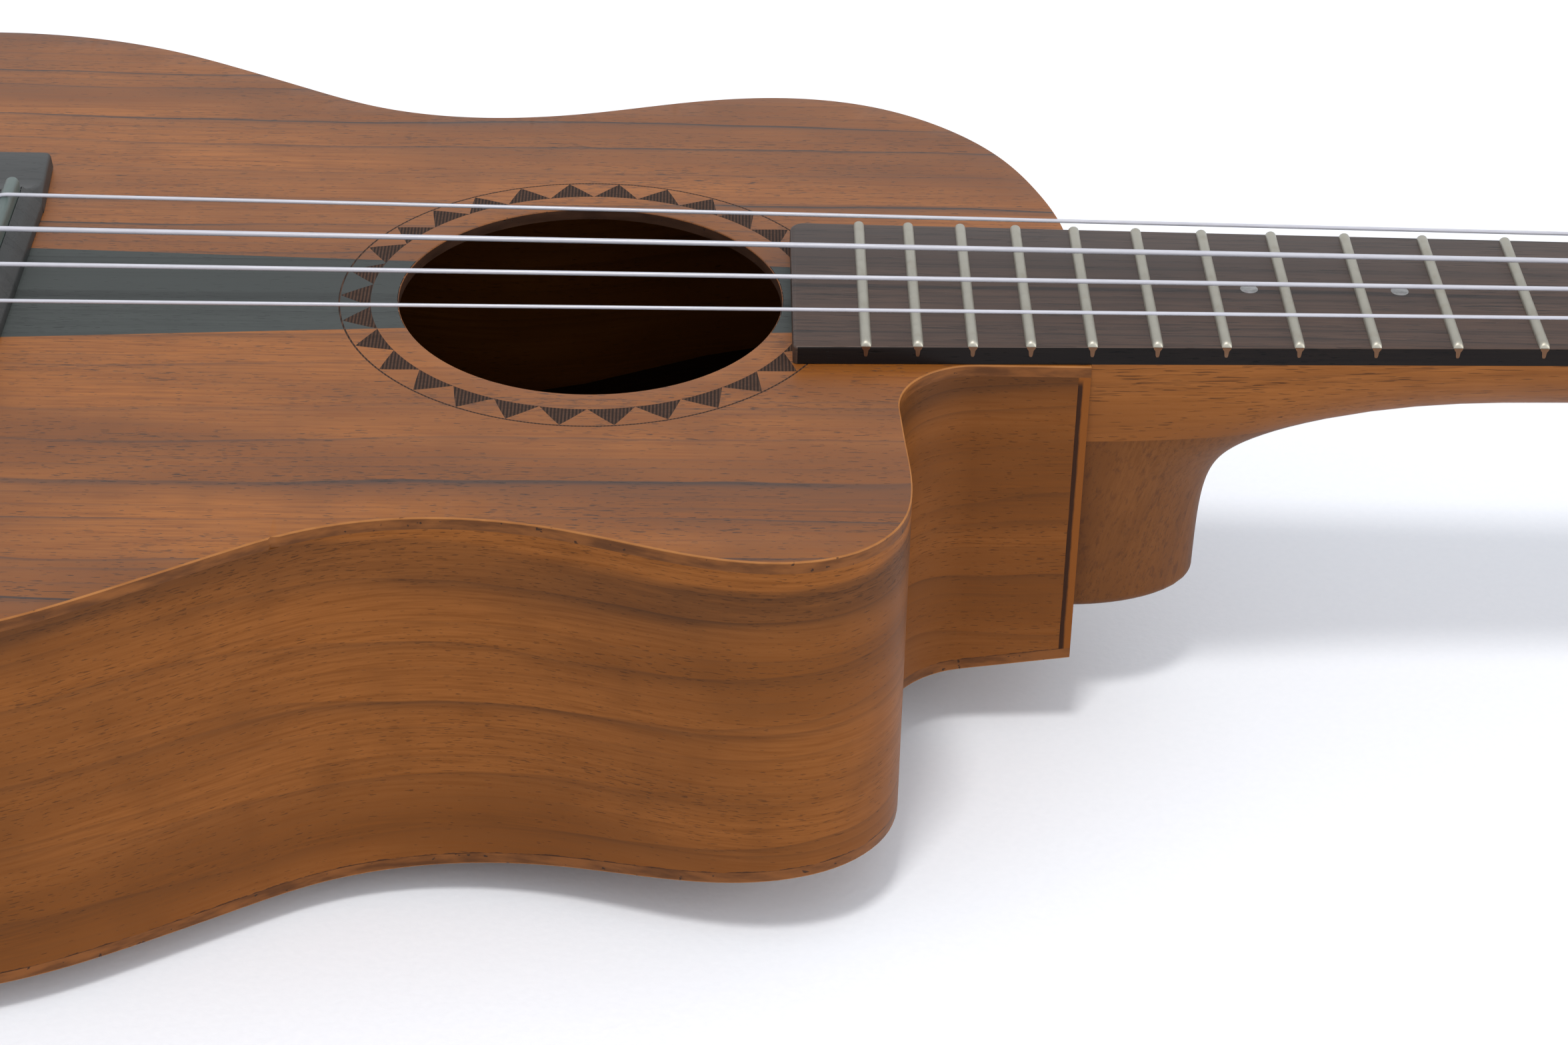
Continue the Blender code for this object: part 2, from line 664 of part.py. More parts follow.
def make_nut(parent):
    half = BOARD_HALF_AT_NUT
    top = STRING_Z_AT_NUT - 0.3 * MM
    back = SCALE_LENGTH + NUT_THICKNESS - GAP
    side = [(SCALE_LENGTH, GAP), (back, GAP), (back, top - 1.2 * MM), (SCALE_LENGTH + 1.2 * MM, top)]
    side.append((SCALE_LENGTH, top))
    nut = mesh_object("nut", prism("nut", side, -half, half, axis="y"), parent, bone())
    for offset, (_, thickness) in zip(string_offsets(SPACING_AT_NUT), STRINGS):
        slot = box("nut_slot", (0, -thickness / 2 - GAP, 0), (30 * MM, thickness / 2 + GAP, 9 * MM))
        place = Matrix.Translation((SCALE_LENGTH - 10 * MM, offset, STRING_Z_AT_NUT - thickness / 2 - GAP))
        combine(nut, "DIFFERENCE", slot, parent, place)


# ---------------------------------------------------------------- bridge and strings


def string_offsets(spacing):
    """The strings' places across the board, bass side first."""
    return [spacing * (1.5 - i) for i in range(4)]


def make_bridge(parent):
    """A tie-block bridge: a raised middle with a saddle slot and a trough, and a low wing at each end."""
    low = GAP
    slot_half = SADDLE_THICKNESS / 2 + GAP
    front, back = BRIDGE_FRONT_X, BRIDGE_BACK_X
    middle = [
        (front, low),
        (front - 0.4 * MM, 3.0 * MM),
        (SADDLE_X + slot_half, 5.4 * MM),
        (SADDLE_X + slot_half, 2.2 * MM),
        (SADDLE_X - slot_half, 2.2 * MM),
        (SADDLE_X - slot_half, 5.4 * MM),
        (-8.5 * MM, 2.9 * MM),
        (-13.5 * MM, 2.9 * MM),
        (-14 * MM, 6.6 * MM),
        (back + 1.6 * MM, 6.6 * MM),
        (back, 5.2 * MM),
        (back, low),
    ]
    wing = [(front, low), (front - 0.4 * MM, 2.4 * MM), (front - 2.2 * MM, 3.2 * MM)]
    wing += [(back + 1.4 * MM, 3.2 * MM), (back, 2.2 * MM), (back, low)]
    body = prism("bridge", wing, -BRIDGE_HALF_LENGTH, BRIDGE_HALF_LENGTH, axis="y")
    bridge = mesh_object("bridge", body, parent, wood("rosewood"))
    centre_cut = box(
        "bridge_middle_room", (-40 * MM, -TIE_BLOCK_HALF + MM, -MM), (20 * MM, TIE_BLOCK_HALF - MM, 9 * MM)
    )
    combine(bridge, "DIFFERENCE", centre_cut, parent)
    raised = prism("bridge_middle", middle, -TIE_BLOCK_HALF, TIE_BLOCK_HALF, axis="y")
    combine(bridge, "UNION", raised, parent)
    for offset in string_offsets(SPACING_AT_SADDLE):
        bore = turned("tie_hole", [(0.9 * MM, -30 * MM), (0.9 * MM, -10 * MM)], 10, axis="x")
        combine(bridge, "DIFFERENCE", bore, parent, Matrix.Translation((0, offset, 4.4 * MM)))


def make_saddle(parent):
    half = SADDLE_THICKNESS / 2
    thinnest = min(thickness for _, thickness in STRINGS)
    top = STRING_Z_AT_SADDLE - thinnest / 2 - 2 * GAP
    section = [(SADDLE_X - half, 2.5 * MM), (SADDLE_X + half, 2.5 * MM), (SADDLE_X + half, top - 0.8 * MM)]
    section += [(SADDLE_X + half / 2, top), (SADDLE_X - half / 2, top), (SADDLE_X - half, top - 0.8 * MM)]
    saddle = prism("saddle", section, -28.4 * MM, 28.4 * MM, axis="y")
    mesh_object("saddle", saddle, parent, bone())


def string_route(index, name):
    """Tie hole, saddle, nut, and a winding round the post, as points in the instrument's axes."""
    at_saddle = string_offsets(SPACING_AT_SADDLE)[index]
    at_nut = string_offsets(SPACING_AT_NUT)[index]
    thickness = STRINGS[index][1]
    points = [Vector((-12.6 * MM, at_saddle, 4.2 * MM))]
    points.append(Vector((SADDLE_X - 1.6 * MM, at_saddle, STRING_Z_AT_SADDLE - 0.4 * MM)))
    points.append(Vector((SADDLE_X, at_saddle, STRING_Z_AT_SADDLE)))
    points.append(Vector((SCALE_LENGTH, at_nut, STRING_Z_AT_NUT)))
    points.append(Vector((SCALE_LENGTH + NUT_THICKNESS, at_nut, STRING_Z_AT_NUT - 0.3 * MM)))
    post = headstock_matrix() @ tuner_places()[name]
    side = 1 if at_nut > 0 else -1
    radius = POST_RADIUS + GAP + thickness / 2
    head = headstock_matrix().to_3x3()
    centre = post.translation
    steps_per_turn = 10
    turns = 1.6
    level = 7.6 * MM
    for step in range(round(turns * steps_per_turn) + 1):
        angle = -math.pi / 2 + 2 * math.pi * step / steps_per_turn
        across = -side * radius * math.cos(angle + math.pi / 2)
        ahead = radius * math.sin(angle + math.pi / 2)
        drop = level - step * (thickness + 0.15 * MM) / steps_per_turn
        points.append(centre + head @ Vector((ahead, across, drop)))
    return points


def make_string(index, name, thickness, parent):
    curve = bpy.data.curves.new(f"string_{name}", "CURVE")
    curve.dimensions = "3D"
    curve.bevel_depth = thickness / 2
    curve.bevel_resolution = 1
    curve.use_fill_caps = True
    route = string_route(index, name)
    line = curve.splines.new("POLY")
    line.points.add(len(route) - 1)
    for point, place in zip(line.points, route):
        point.co = (*place, 1)
    made = bpy.data.objects.new(f"string_{name}", curve)
    curve.materials.append(material("nylon", (0.8, 0.8, 0.82), 0.3))
    bpy.context.scene.collection.objects.link(made)
    made.parent = parent


# ---------------------------------------------------------------- tuning machines


def gear_mesh():
    """A wheel with a tooth gap facing +X, its teeth twisted to lie along the worm's thread."""
    twist_rate = WORM_LEAD / (2 * math.pi * 2.25 * MM) / GEAR_PITCH_RADIUS
    tooth = ((GEAR_ROOT_RADIUS, -1.05), (GEAR_TIP_RADIUS, -0.5), (GEAR_TIP_RADIUS, 0.5), (GEAR_ROOT_RADIUS, 1.05))
    shape = bmesh.new()
    rings = []
    for w in (GEAR_W - GEAR_FACE / 2, GEAR_W + GEAR_FACE / 2):
        twist = twist_rate * (w - GEAR_W)
        ring = []
        for number in range(GEAR_TEETH):
            centre = 2 * math.pi * (number + 0.5) / GEAR_TEETH + twist
            for radius, width in tooth:
                angle = centre + width * MM / 2 / radius
                ring.append(shape.verts.new((radius * math.cos(angle), radius * math.sin(angle), w)))
        rings.append(ring)
    bridge_rings(shape, rings)
    return finish_mesh("gear", shape)


def worm_thread_mesh():
    """A right-handed thread along Y round the worm's axis, centred on a crest where it faces the gear."""
    steps_per_turn = 10
    turns = 2 * (WORM_HALF_LENGTH - 0.7 * MM) / WORM_LEAD
    count = round(turns * steps_per_turn)
    section = ((WORM_ROOT_RADIUS - 0.3 * MM, -0.5), (WORM_TIP_RADIUS, -0.175), (WORM_TIP_RADIUS, 0.175))
    section += ((WORM_ROOT_RADIUS - 0.3 * MM, 0.5),)
    shape = bmesh.new()
    rings = []
    for step in range(count + 1):
        turn = 2 * math.pi * (step - count / 2) / steps_per_turn
        angle = turn - math.pi / 2
        axial = WORM_LEAD * turn / (2 * math.pi)
        ring = []
        for radius, shift in section:
            place = (radius * math.sin(angle), axial + shift * MM, radius * math.cos(angle))
            ring.append(shape.verts.new(place))
        rings.append(ring)
    bridge_rings(shape, rings)
    return finish_mesh("worm_thread", shape)


def button_mesh():
    """The knob on the worm's shaft: an oval paddle with rounded edges."""
    length, wide, thick = BUTTON_SIZE
    shape = bmesh.new()
    rings = []
    for share, size in ((0, 0.42), (0.1, 0.62), (0.35, 0.95), (0.65, 1), (0.9, 0.8), (1, 0.5)):
        ring = []
        for step in range(12):
            angle = 2 * math.pi * step / 12
            u = size * wide / 2 * math.cos(angle)
            w = (0.5 + 0.5 * size) * thick / 2 * math.sin(angle)
            ring.append(shape.verts.new((u, BUTTON_START + share * length, w)))
        rings.append(ring)
    bridge_rings(shape, rings)
    return finish_mesh("button", shape, smooth=True)


def make_housing(name, place):
    """A cast cover, open towards the headstock, with room for the gear and the worm."""
    face = GEAR_W + 3.2 * MM
    roof = GEAR_W - 4.6 * MM
    corners = [(-7.4, -6.2), (-6.2, -7.4), (10.2, -7.4), (11.8, -5.8), (11.8, 5.8), (10.2, 7.4)]
    corners += [(-6.2, 7.4), (-7.4, 6.2)]
    plan = [(u * MM, v * MM) for u, v in corners]
    cover = mesh_object(f"tuner_{name}_housing", prism("housing", plan, roof, face), place, nickel())
    ceiling = GEAR_W - 3.0 * MM
    room = turned("gear_room", [(GEAR_TIP_RADIUS + 0.5 * MM, ceiling), (GEAR_TIP_RADIUS + 0.5 * MM, face + MM)], 24)
    combine(cover, "DIFFERENCE", room, place)
    half = WORM_HALF_LENGTH + 0.4 * MM
    worm_half = WORM_TIP_RADIUS + 0.35 * MM
    low = (WORM_CENTRE - worm_half, -half, ceiling)
    channel = box("worm_room", low, (WORM_CENTRE + worm_half, half, face + MM))
    combine(cover, "DIFFERENCE", channel, place)
    bore = turned("shaft_bore", [(SHAFT_RADIUS + 0.35 * MM, 0), (SHAFT_RADIUS + 0.35 * MM, 20 * MM)], 12, axis="y")
    combine(cover, "DIFFERENCE", bore, place, Matrix.Translation((WORM_CENTRE, 0, GEAR_W)))


def make_post(name, place):
    """The string post on the gear's axis, with its gear fixed to the lower end."""
    top = POST_HEIGHT
    foot = GEAR_W - GEAR_FACE / 2 - 0.6 * MM
    waist = POST_RADIUS - 0.5 * MM
    profile = [(POST_RADIUS, foot), (POST_RADIUS, 5 * MM), (waist, 6 * MM), (waist, 10 * MM)]
    profile += [(POST_RADIUS, 11 * MM), (POST_RADIUS, top - 0.6 * MM), (POST_RADIUS - 0.8 * MM, top)]
    post = mesh_object(f"tuner_{name}_post", turned("post", profile, 16), place, nickel())
    combine(post, "UNION", gear_mesh(), place)
    eye = turned("string_eye", [(0.8 * MM, -10 * MM), (0.8 * MM, 10 * MM)], 8, axis="x")
    combine(post, "DIFFERENCE", eye, place, Matrix.Translation((0, 0, 9.2 * MM)))


def make_button(name, place):
    """The worm, its shaft and the button, turning together on the worm's axis."""
    axis = empty(f"tuner_{name}_worm_axis", place, Matrix.Translation((WORM_CENTRE, 0, GEAR_W)))
    profile = [
        (WORM_ROOT_RADIUS, -WORM_HALF_LENGTH),
        (WORM_ROOT_RADIUS, WORM_HALF_LENGTH),
        (SHAFT_RADIUS, WORM_HALF_LENGTH + 0.1 * MM),
        (SHAFT_RADIUS, BUTTON_START + 4 * MM),
    ]
    shaft = mesh_object(f"tuner_{name}_button", turned("worm_shaft", profile, 10, axis="y"), axis, nickel())
    combine(shaft, "UNION", worm_thread_mesh(), axis)
    combine(shaft, "UNION", button_mesh(), axis)


def make_tuners(head):
    for name, matrix in tuner_places().items():
        place = empty(f"tuner_{name}", head, matrix)
        make_housing(name, place)
        make_post(name, place)
        make_button(name, place)


# ---------------------------------------------------------------- assembly


def set_origin(instrument):
    """Moves the whole along X and Z, so that the origin lies under the middle of its bounding box."""
    bpy.context.view_layer.update()
    graph = bpy.context.evaluated_depsgraph_get()
    lows, highs = [], []
    for piece in bpy.context.scene.objects:
        if piece.type == "EMPTY" or piece.hide_render:
            continue
        seen = piece.evaluated_get(graph)
        places = [seen.matrix_world @ point.co for point in seen.to_mesh().vertices]
        lows.append(np.min(places, axis=0))
        highs.append(np.max(places, axis=0))
        seen.to_mesh_clear()
    low = np.min(lows, axis=0)
    high = np.max(highs, axis=0)
    instrument.location = (-(low[0] + high[0]) / 2, 0, -low[2])
    bpy.context.view_layer.update()


def build():
    clear_scene()
    instrument = empty("instrument")
    head = empty("headstock", instrument, headstock_matrix())
    make_soundboard(instrument)
    make_stripes(instrument)
    make_back(instrument)
    make_ribs(instrument)
    make_linings(instrument)
    make_blocks(instrument)
    make_bracing(instrument)
    make_neck(instrument, head)
    make_heel(instrument)
    make_fretboard(instrument)
    make_frets(instrument)
    make_nut(instrument)
    make_bridge(instrument)
    make_saddle(instrument)
    for index, (name, thickness) in enumerate(STRINGS):
        make_string(index, name, thickness, instrument)
    make_tuners(head)
    set_origin(instrument)


build()
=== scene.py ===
"""The looks of a tenor cutaway ukulele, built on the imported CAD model.

Every piece is drawn in the design axes: X from the bridge to the headstock, Y from the treble to the
bass side, Z up out of the soundboard, with zero a scale length short of the nut at the soundboard's crown.
SHIFT moves them into the model's frame, so a piece's own object coordinates are the design coordinates,
and a wood's grain carries on from one piece to the next.
"""

import math

import bmesh
import bpy
import numpy as np
from mathutils import Matrix, Vector
from mathutils.geometry import delaunay_2d_cdt


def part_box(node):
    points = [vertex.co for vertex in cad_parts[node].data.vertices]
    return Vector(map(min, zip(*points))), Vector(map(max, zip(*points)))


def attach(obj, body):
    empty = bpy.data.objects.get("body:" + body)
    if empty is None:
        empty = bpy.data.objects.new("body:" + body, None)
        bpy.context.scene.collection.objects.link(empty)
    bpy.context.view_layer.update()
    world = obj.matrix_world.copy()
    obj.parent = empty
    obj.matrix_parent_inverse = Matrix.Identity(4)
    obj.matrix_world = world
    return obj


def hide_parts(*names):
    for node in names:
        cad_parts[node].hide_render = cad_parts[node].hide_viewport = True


MM = 0.001
BODY = "instrument"

# Scale and fretboard
SCALE_LENGTH = 432 * MM
FRET_COUNT = 18
BODY_JOINT_FRET = 14
JOINT_X = SCALE_LENGTH * 2 ** (-BODY_JOINT_FRET / 12)
BOARD_END_X = 140 * MM
BOARD_TOP_Z = 3.45 * MM
BOARD_HALF_AT_JOINT = 22.15 * MM
BOARD_HALF_AT_NUT = 17.0 * MM
BOARD_CORNERS = (0.8 * MM, 2.8 * MM)  # treble and bass corners beside the soundhole
FRET_HEIGHT = 1.0 * MM
FRET_WIDTH = 2.0 * MM
DOT_FRETS = (5, 7, 10, 12)
DOT_RADIUS = 1.6 * MM

# Body
TOP_THICKNESS = 2.2 * MM
BACK_THICKNESS = 2.2 * MM
RIB_THICKNESS = 2.0 * MM
GLUE_LINE = 0.15 * MM
CORNER_GLUE_X = JOINT_X - 1.75 * MM
TOP_ARCH_RADIUS = 3400 * MM
BACK_DEPTH = 78.7 * MM
BACK_CROWN_X = -30 * MM
BACK_RADIUS_LENGTHWISE = 1490 * MM
BACK_RADIUS_ACROSS = 1000 * MM
HOLE_X = 104 * MM
HOLE_RADIUS = 34.4 * MM
LOWER_BOUT_X = -24 * MM
LOWER_BOUT_HALF = 111.8 * MM
TAIL_LENGTH = 86 * MM
CUTAWAY_Y = -22.8 * MM
CUTAWAY_RADIUS = 14.4 * MM
EDGE_RADIUS = 0.25 * MM
RIM_SPACING = 2 * MM
PLATE_GRID = ((-120 * MM, -115 * MM), (195 * MM, 115 * MM))  # the box that the plates' inner points fill
ROUND_STEPS = 4
INLAY_DEPTH = 0.6 * MM
INLAY_THICKNESS = INLAY_DEPTH - 0.01 * MM
STRIPE_HALF_AT_HOLE = 12.4 * MM
# the side of the soundhole each stripe is on, then its far end's x, low y and high y
STRIPES = {
    "lower": (-1, -105 * MM, -25.5 * MM, 20 * MM),
    "upper": (1, 190 * MM, -9.5 * MM, 9.5 * MM),
}

# Points of the body's outline, in millimetres; the waist is the same on both sides
WAIST = ((15, 104.2), (30, 95.8), (45, 86.3), (60, 77.9), (78, 73.9), (100, 76.3))
SHOULDER = ((121, 82.6), (142, 85.2), (157, 81.8), (170, 73.3), (181, 59.8))
SHOULDER += ((187.6, 44.5), (190.9, 32), (192, 24))
HORN = ((120, -82.8), (137, -85.6), (150, -82), (157.2, -73.8), (159.4, -63), (158.9, -50))
CUTAWAY_ARC_X = 158.2 * MM

# Rosette
ROSETTE_TEETH = 30
ROSETTE_BASE = 39.4 * MM
ROSETTE_TIP = 44.8 * MM
ROSETTE_INNER = 38.6 * MM
ROSETTE_OUTER = 45.6 * MM
ROSETTE_TURN = math.radians(1)
ROSETTE_LINE = 0.34 * MM
TOOTH_POWER = 1.08
HATCH_PITCH = 0.62 * MM

# Heel and neck
HEEL_DEPTH = 56 * MM
HEEL_ROUND = 1.8 * MM
HEEL_REACH = 24.2 * MM
HEEL_TOP_REACH = 9 * MM
HEEL_TAPER = 0.32
HEEL_TAPER_POWER = 1.3
HEEL_FLARE = 23.4 * MM  # how much further the heel reaches where it meets the shaft
HEEL_FLARE_DEPTH = 19 * MM
HEEL_FLARE_FADE = 5.3 * MM
HEEL_TO_SHAFT = 58 * MM
SHAFT_DEPTH = 16.4 * MM
SHAFT_DEPTH_AT_NUT = 14.6 * MM
SHAFT_GLUE_Z = -16.6 * MM
HEAD_START_X = SCALE_LENGTH - 24 * MM
NECK_LEVELS = 30

# Bridge and strings
SADDLE_X = -3.6 * MM
SADDLE_THICKNESS = 2.6 * MM
SADDLE_HALF_LENGTH = 28.4 * MM
BRIDGE_FRONT_X = 1.4 * MM
BRIDGE_BACK_X = -24 * MM
TIE_BLOCK_HALF = 30 * MM
TIE_BLOCK_TOP = 6.6 * MM
TIE_HOLE_Z = 4.4 * MM
TIE_HOLE_RADIUS = 0.8 * MM
WING_TAPER = 1.2 * MM
# across from the middle, height, and share of the way from the block's long slope to the wing's small bevel
WING_STATIONS = (
    (29.4, 4.6, 0.0),
    (30.3, 4.5, 0.15),
    (31.5, 4.1, 0.45),
    (33.5, 3.6, 0.85),
    (36.5, 3.25, 1.0),
    (47.7, 3.1, 1.0),
    (48.0, 3.0, 1.0),
)
STRINGS = (("G", 0.72 * MM), ("C", 0.98 * MM), ("E", 0.84 * MM), ("A", 0.66 * MM))
# x, share of the sideways shift, and height, which is on the block's top where there is none
TIE_ROUTE = (
    (-9.6, 0.9, 3.6),
    (-12.2, 1.4, 3.9),
    (-13.2, 1.3, 5.6),
    (-14.2, 1.2, None),
    (-17.5, 1.5, None),
    (-21.5, 0.9, None),
    (-23.6, 0.3, 6.2),
)
SPACING_AT_SADDLE = 13.3 * MM
SPACING_AT_NUT = 9.2 * MM
STRING_Z_AT_SADDLE = 8.5 * MM
STRING_Z_AT_NUT = 6.6 * MM
NUT_THICKNESS = 4.5 * MM

# Headstock, in its own axes: u along it from behind the nut, v across, w out of its face
HEADSTOCK_ANGLE = math.radians(12)
HEADSTOCK_THICKNESS = 12 * MM
HEADSTOCK_LENGTH = 132 * MM
# points of its side from the nut to the far corner, in millimetres
HEADSTOCK_SIDE = ((0, 17.2), (9, 18), (20, 23.5), (34, 27.3), (60, 28.6), (95, 30.6), (118, 32), (127, 30.5))
VENEER_THICKNESS = 1.0 * MM
TUNER_U = (42 * MM, 88 * MM)
TUNER_V = (17 * MM, 19 * MM)
POST_RADIUS = 3.0 * MM
POST_HEIGHT = 14 * MM
WORM_CENTRE = 7.35 * MM
SHAFT_RADIUS = 1.3 * MM
HEADSTOCK_BACK_W = -(VENEER_THICKNESS + HEADSTOCK_THICKNESS + 0.6 * MM)
GEAR_W = HEADSTOCK_BACK_W - 3.2 * MM
BUTTON_START = 16.5 * MM
BUTTON_SIZE = (13 * MM, 12 * MM, 7 * MM)
BORE_RADIUS = POST_RADIUS + 0.5 * MM
WINDING_TURNS = 2.4

# Camera: a long lens above the treble side
CAMERA_PLACE = Vector((125.18, -577.86, 318.53)) * MM
CAMERA_AZIMUTH = math.radians(-1.451)
CAMERA_ELEVATION = math.radians(32.35)
CAMERA_ROLL = math.radians(1.514)
LENS = 84
SENSOR_WIDTH = 36

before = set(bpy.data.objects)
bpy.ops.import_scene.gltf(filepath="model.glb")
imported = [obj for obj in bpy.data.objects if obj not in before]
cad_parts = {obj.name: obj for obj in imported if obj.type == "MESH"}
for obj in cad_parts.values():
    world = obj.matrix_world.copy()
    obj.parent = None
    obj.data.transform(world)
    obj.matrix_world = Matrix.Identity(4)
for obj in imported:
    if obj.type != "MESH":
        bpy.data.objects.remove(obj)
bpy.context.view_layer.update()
saddle_low, saddle_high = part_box("saddle")
SHIFT = Vector(((saddle_low.x + saddle_high.x) / 2 - SADDLE_X, 0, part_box("soundboard")[1].z))


# ---------------------------------------------------------------- mesh helpers


def in_scene(name, data):
    """A new object linked into the scene."""
    made = bpy.data.objects.new(name, data)
    bpy.context.scene.collection.objects.link(made)
    return made


def placed(mesh, matrix):
    mesh.transform(matrix)
    return mesh


def dressed(mesh, look):
    mesh.materials.append(look)
    return mesh


def painted(mesh, index, chosen):
    """The mesh with one of its materials on the faces that are chosen."""
    for face in mesh.polygons:
        if chosen(face):
            face.material_index = index
    return mesh


def smoothed(mesh, crease=35):
    """The mesh shaded smooth, apart from edges sharper than crease degrees."""
    mesh.shade_smooth()
    mesh.set_sharp_from_angle(angle=math.radians(crease))
    return mesh


def in_metres(points):
    """Points that are given in millimetres."""
    return [tuple(value * MM for value in point) for point in points]


def mirrored(stations):
    """Stations along Y from the low end to the middle, and the same from there to the high end."""
    return [*stations, *((-y, scale) for y, scale in stations[::-1])]


def circle_turns(steps):
    return [2 * math.pi * step / steps for step in range(steps)]


def quarter_turns(steps):
    return [math.pi / 2 * step / steps for step in range(steps + 1)]


def add_rings(shape, rings):
    """Quads between each ring of points and the next, and a face over each end."""
    rings = [[shape.verts.new(point) for point in ring] for ring in rings]
    for first, second in zip(rings, rings[1:]):
        for i in range(len(first)):
            j = (i + 1) % len(first)
            shape.faces.new((first[i], first[j], second[j], second[i]))
    shape.faces.new(rings[0][::-1])
    shape.faces.new(rings[-1])
    return rings


def mesh_from(shape, name, crease=35):
    """The bmesh as a smooth mesh with its sharp edges kept."""
    bmesh.ops.remove_doubles(shape, verts=shape.verts, dist=1e-7)
    bmesh.ops.recalc_face_normals(shape, faces=shape.faces)
    mesh = bpy.data.meshes.new(name)
    shape.to_mesh(mesh)
    shape.free()
    return smoothed(mesh, crease)


def loft(name, rings, crease=35):
    """A closed mesh over rings of points."""
    shape = bmesh.new()
    add_rings(shape, rings)
    return mesh_from(shape, name, crease)


def add_piece(name, mesh, looks, nodes=(), body=BODY, matrix=Matrix()):
    """A piece in the design axes, riding on a CAD body and standing for CAD nodes."""
    made = in_scene(name, mesh)
    made.matrix_world = Matrix.Translation(SHIFT) @ matrix
    for look in looks:
        if look.name not in mesh.materials:
            mesh.materials.append(look)
    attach(made, body)
    if nodes:
        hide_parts(*nodes)


def cut(target, tools):
    """The target mesh less each closed tool mesh, as a new mesh."""
    holder = in_scene("cut_holder", target)
    helpers = [holder]
    for tool in tools:
        helpers.append(in_scene("cut_tool", tool))
        modifier = holder.modifiers.new("cut", "BOOLEAN")
        modifier.operation = "DIFFERENCE"
        modifier.solver = "EXACT"
        modifier.object = helpers[-1]
    bpy.context.view_layer.update()
    made = bpy.data.meshes.new_from_object(holder.evaluated_get(bpy.context.evaluated_depsgraph_get()))
    for helper in helpers:
        bpy.data.objects.remove(helper, do_unlink=True)
    return smoothed(made)


def moved_left(points, before, after, depth):
    """The points of a path moved to its left by depth, given the points before and after each."""
    into, out = points - before, after - points
    into /= np.linalg.norm(into, axis=1)[:, None]
    out /= np.linalg.norm(out, axis=1)[:, None]
    along = into + out
    along /= np.linalg.norm(along, axis=1)[:, None]
    stretch = 1 / np.maximum((along * into).sum(axis=1), 0.4)
    left = np.column_stack([-along[:, 1], along[:, 0]])
    return points + depth * stretch[:, None] * left


def moved_loop(loop, depth):
    """A closed loop, turning anticlockwise, moved inwards by depth."""
    points = np.array(loop, float)
    return moved_left(points, np.roll(points, 1, axis=0), np.roll(points, -1, axis=0), depth)


def moved_path(path, depth):
    """An open path moved to its left, which is into the body, by depth."""
    points = np.array(path)
    before = np.vstack([2 * points[0] - points[1], points[:-1]])
    after = np.vstack([points[1:], 2 * points[-1] - points[-2]])
    return moved_left(points, before, after, depth)


def rounded_prism(name, loop, low, high, low_round=0.0, high_round=0.0):
    """A prism over an anticlockwise outline, with its lower and upper edges rounded."""
    rings = []
    for radius, end, side in ((low_round, low, 1), (high_round, high, -1)):
        arc = []
        for turn in quarter_turns(ROUND_STEPS) if radius else [0.0]:
            depth = radius * (1 - math.sin(turn))
            height = end + side * radius * (1 - math.cos(turn))
            arc.append([(x, y, height) for x, y in moved_loop(loop, depth)])
        rings += arc if side > 0 else arc[::-1]
    return loft(name, rings)


def turned_mesh(name, profile, steps=32, axis="z", at=(0, 0, 0)):
    """A closed solid of revolution through (radius, height) points."""
    rings = []
    for radius, height in profile:
        ring = []
        for angle in circle_turns(steps):
            a, b = radius * math.cos(angle), radius * math.sin(angle)
            ring.append({"z": (a, b, height), "y": (b, height, a), "x": (height, a, b)}[axis])
        rings.append(ring)
    return placed(loft(name, rings), Matrix.Translation(at))


def rounded_profile(points, radius):
    """A closed section whose corners are replaced by short arcs."""
    steps = 3
    made = []
    count = len(points)
    for i, corner in enumerate(points):
        corner = Vector(corner)
        before, after = Vector(points[i - 1]), Vector(points[(i + 1) % count])
        reach = min(radius, 0.45 * (before - corner).length, 0.45 * (after - corner).length)
        start = corner + (before - corner).normalized() * reach
        end = corner + (after - corner).normalized() * reach
        for step in range(steps + 1):
            share = step / steps
            first, second = start.lerp(corner, share), corner.lerp(end, share)
            made.append(first.lerp(second, share))
    return made


def extruded_along_y(name, section, stations):
    """A loft along Y: each station is (y, scale towards the section's lower middle)."""
    middle = sum((point.x for point in section)) / len(section)
    foot = min(point.y for point in section)
    rings = []
    for y, scale in stations:
        rings.append([(middle + (p.x - middle) * scale, y, foot + (p.y - foot) * scale) for p in section])
    return loft(name, rings)


def tube(name, points, radius):
    """A round string through the points, closed at both ends."""
    rings = []
    normal = Vector((0, 0, 1))
    for i, point in enumerate(points):
        ahead = points[min(i + 1, len(points) - 1)]
        behind = points[max(i - 1, 0)]
        along = (ahead - behind).normalized()
        normal = (normal - along * normal.dot(along)).normalized()
        side = along.cross(normal)
        turns = circle_turns(12)
        rings.append([point + radius * (normal * math.cos(a) + side * math.sin(a)) for a in turns])
    return loft(name, rings, crease=50)


def joined(name, meshes):
    """Several meshes as one, each keeping its materials."""
    shape = bmesh.new()
    looks = []
    for mesh in meshes:
        first = len(shape.faces)
        shape.from_mesh(mesh)
        shape.faces.ensure_lookup_table()
        own = list(mesh.materials)
        for face in shape.faces[first:]:
            if own:
                look = own[face.material_index]
                if look not in looks:
                    looks.append(look)
                face.material_index = looks.index(look)
    made = bpy.data.meshes.new(name)
    shape.to_mesh(made)
    shape.free()
    for look in looks:
        made.materials.append(look)
    return smoothed(made)


# ---------------------------------------------------------------- materials


